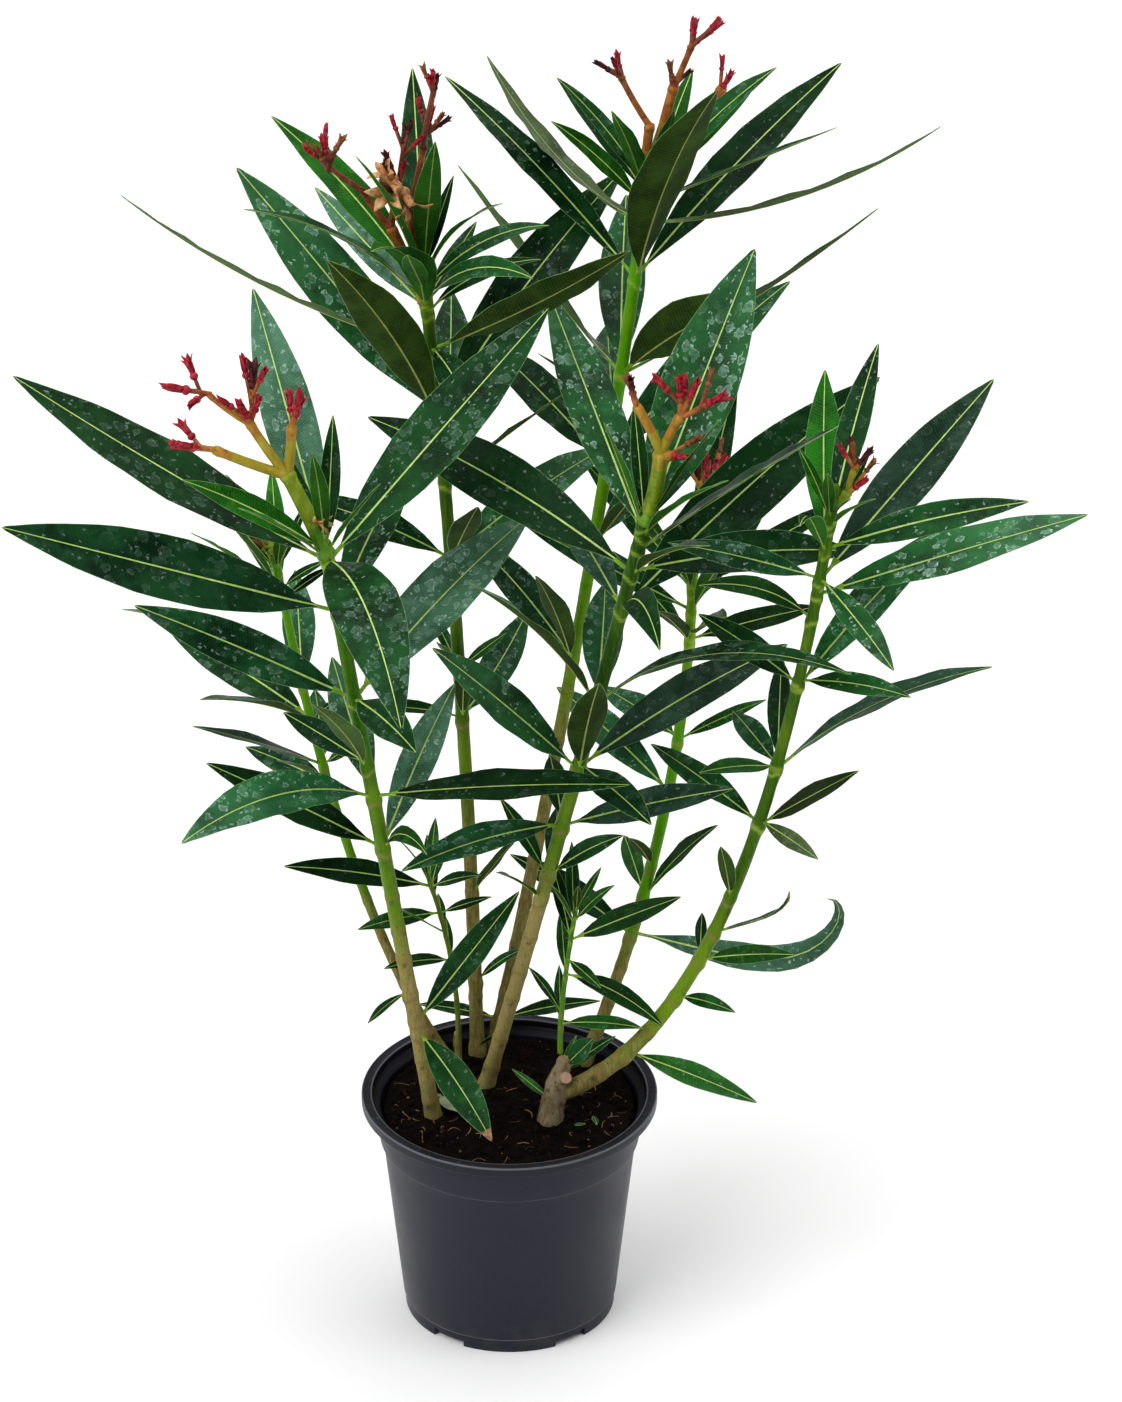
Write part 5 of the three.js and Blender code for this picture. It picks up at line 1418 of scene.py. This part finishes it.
def makeSoilBits():
    # crumbs: small lumpy balls strewn by the square root rule, so that they lie evenly over the face
    look = bitLook
    roll = np.random.default_rng(look["seed"])
    shells = []
    s = np.linspace(0, math.pi, 5)[1:-1, None]
    angle = np.arange(look["columns"]) * 2 * math.pi / look["columns"]
    for n in range(look["crumbs"]):
        r, a = look["crumbReach"] * math.sqrt(roll.uniform(0, 1)), roll.uniform(0, 2 * math.pi)
        pale = n % look["paleEach"] == 0
        size = roll.uniform(*look["small" if n % look["largeEach"] else "large"])
        size *= look["paleSize"] if pale else 1
        x, y = r * math.cos(a), r * math.sin(a)
        stretch = roll.uniform(*look["stretch"], 3) * size
        wobble = roll.uniform(*look["wobble"], (len(s), look["columns"]))
        ball = (np.sin(s) * np.cos(angle), np.sin(s) * np.sin(angle), -np.cos(s))
        ring = np.stack([part * wobble for part in ball], -1) * stretch
        base = np.array([x, y, float(soilHeight(x, y)) + size * look["raised"]])
        tips = [base + [0, 0, end * stretch[2]] for end in (-1, 1)]
        shells.append(gridShell(base + ring, 0 if n % look["barkEach"] else 2 if pale else 1, tips=tips))
    makePiece("soil_crumbs", shells, [
        soilMaterial("soil_crumb", "#0d0806", "#1c130d", "#3d2c20"),
        soilMaterial("soil_bark_bit", "#2c1a12", "#4a2f22", "#80594a"),
        soilMaterial("soil_pale_bit", "#5a4a38", "#8a7a62", "#c6b898"),
    ])
    fibres = []
    for n in range(look["fibres"]):
        r, a = look["fibreReach"] * math.sqrt(roll.uniform(0, 1)), roll.uniform(0, 2 * math.pi)
        long, turn = roll.uniform(*look["fibreLong"]), roll.uniform(0, 2 * math.pi)
        bend = roll.uniform(-look["fibreBend"], look["fibreBend"])
        u = np.linspace(-0.5, 0.5, look["fibreRows"])
        x = r * math.cos(a) * look["fibreIn"] + long * u * np.cos(turn + bend * u)
        y = r * math.sin(a) * look["fibreIn"] + long * u * np.sin(turn + bend * u)
        scale = np.minimum(1, look["fibreMost"] / np.maximum(np.hypot(x, y), 1))
        x, y = x * scale, y * scale
        arch = look["fibreUp"] + look["fibreArch"] * np.cos(math.pi * u)
        z = soilHeight(x, y).mean() + arch + roll.uniform(*look["fibreLift"])
        radii = np.full(len(u), roll.uniform(*look["fibreRadius"]))
        fibres.append(tubeShell(np.stack([x, y, z], 1), radii, 5, n % 3 // 2))
    makePiece("soil_fibres", fibres, [
        plainGrain("fibre_tan", "#8a6440", "#c09468", 400, 0.8, 0.3, "#3c2a1c"),
        plainGrain("fibre_dark", "#46301f", "#6b4a34", 400, 0.85, 0.3),
    ])


lyingLeaves = [
    # place, azimuth, length, width, roll, faces
    ((-44, 6, 141.5), 306, 40, 15, 176, ("leaf_olive", "under_bleached")),
    ((46, -27, 141), 200, 7, 4.5, 10, ("leaf_blue", "under_pale")),
    ((53, -28, 141), 100, 9, 4.5, 25, ("leaf_blue", "under_pale")),
]
lyingShape = {"rise": 6, "bend": 12, "curl": 1, "sway": 0.05, "fold": 0.15}
lyingSeed = 13
cutTwig = {
    "foot": (-33, 64, soilTop - 4), "tip": (-32.5, 65, soilTop + 12), "rows": 12, "columns": 12, "r": 2.0,
    "node": (0.3, 0.55, 0.12), "rounded": 0.3, "cutFrom": 0.9, "cutOver": 0.08, "cutShare": 0.6,
}


def makeLitter():
    # a pale leaf lying on its face behind the lowest leaf, green scraps, and the stub of a cut twig,
    # whose radius is r + a bump at its node - rounded s^12
    roll = np.random.default_rng(lyingSeed)
    shells = []
    for place, azimuth, length, width, turn, looks in lyingLeaves:
        base = np.array(place, float)
        leaf = dict(lyingShape, base=base, az=azimuth, roll=turn, length=length, width=width)
        shells.append(leafShell(leaf, roll, looks))
    makePiece("soil_leaves", shells, leafMaterials)
    s = np.linspace(0, 1, cutTwig["rows"])
    foot, tip = np.array(cutTwig["foot"]), np.array(cutTwig["tip"])
    swell, at, wide = cutTwig["node"]
    radii = cutTwig["r"] + swell * bump(s, at, wide) - cutTwig["rounded"] * s ** 12
    cut = np.clip((s - cutTwig["cutFrom"]) / cutTwig["cutOver"], 0, 1)[:, None]
    values = {"ring": 0 * cut, "scar": 0 * cut, "cut": cut * cutTwig["cutShare"]}
    shell = tubeShell(foot + s[:, None] * (tip - foot), radii, cutTwig["columns"], values=values)
    makePiece("cut_twig", [shell], [caneMaterial("twig", canes["stump"])])


makeSoil()
makeSoilBits()
makeLitter()


# floor, light and camera, in metres

studio = {
    "floorHalf": 6.0, "world": 0.17,
    # direction, strength and spread of each sun
    "suns": {"top_light": ((0.1, 0.2, 1.0), 2.5, 80), "key_light": ((-0.75, -0.75, 1.0), 1.3, 40)},
    # place and power of each lamp; all point at the aim
    "lamps": {"left_box": ((-2.6, -0.6, 1.3), 18), "right_box": ((2.6, -0.4, 1.3), 13)},
    "aim": (0, 0, 0.4), "lampSize": 1.8,
    "camera": (0.0314, -5.1127, 3.3009), "pitch": 60.6, "lens": 253.36, "sensor": 36, "far": 100,
}


def makeStage():
    # a square of white paper, wide enough for the whole picture
    half = studio["floorHalf"]
    mesh = bpy.data.meshes.new("floor")
    corners = [(x * half, y * half, 0) for x, y in ((-1, -1), (1, -1), (1, 1), (-1, 1))]
    mesh.from_pydata(corners, [], [(0, 1, 2, 3)])
    material, tree, shader, place = newMaterial("floor_paper", Roughness=0.9)
    wire(tree, shader, tinted(tree, "#fafafa", noise(tree, place, 3, 2), "#ffffff"))
    mesh.materials.append(material)
    floor = bpy.data.objects.new("floor", mesh)
    bpy.context.scene.collection.objects.link(floor)


def addLamp(name, kind, strength, toward, place=(0, 0, 0), **settings):
    # a light whose back points along toward: tilted by atan(flat / height), then turned about Z
    light = bpy.data.lights.new(name, kind)
    light.energy = strength
    for setting, value in settings.items():
        setattr(light, setting, value)
    lamp = bpy.data.objects.new(name, light)
    bpy.context.scene.collection.objects.link(lamp)
    lamp.location = place
    x, y, z = toward
    lamp.rotation_euler = (math.atan2(math.hypot(x, y), z), 0, math.atan2(-y, -x) - math.pi / 2)


def makeLightAndCamera():
    # an even world, wide suns, two lamps at the sides and the camera in front
    scene = bpy.context.scene
    world = bpy.data.worlds.new("studio")
    scene.world = world
    world.use_nodes = True
    background = world.node_tree.nodes["Background"]
    background.inputs["Color"].default_value = (1, 1, 1, 1)
    background.inputs["Strength"].default_value = studio["world"]
    for name, (toward, strength, spread) in studio["suns"].items():
        addLamp(name, "SUN", strength, toward, angle=math.radians(spread))
    for name, (place, power) in studio["lamps"].items():
        toward = np.array(place) - studio["aim"]
        addLamp(name, "AREA", power, toward, place, shape="DISK", size=studio["lampSize"])
    camera = bpy.data.cameras.new("camera")
    camera.lens, camera.sensor_width, camera.sensor_fit = studio["lens"], studio["sensor"], "AUTO"
    camera.clip_end = studio["far"]
    viewer = bpy.data.objects.new("camera", camera)
    scene.collection.objects.link(viewer)
    viewer.location = studio["camera"]
    viewer.rotation_euler = (math.radians(studio["pitch"]), 0, 0)
    scene.camera = viewer
    scene.view_settings.view_transform = "Standard"


makeStage()
makeLightAndCamera()
print("stage, light and camera set")
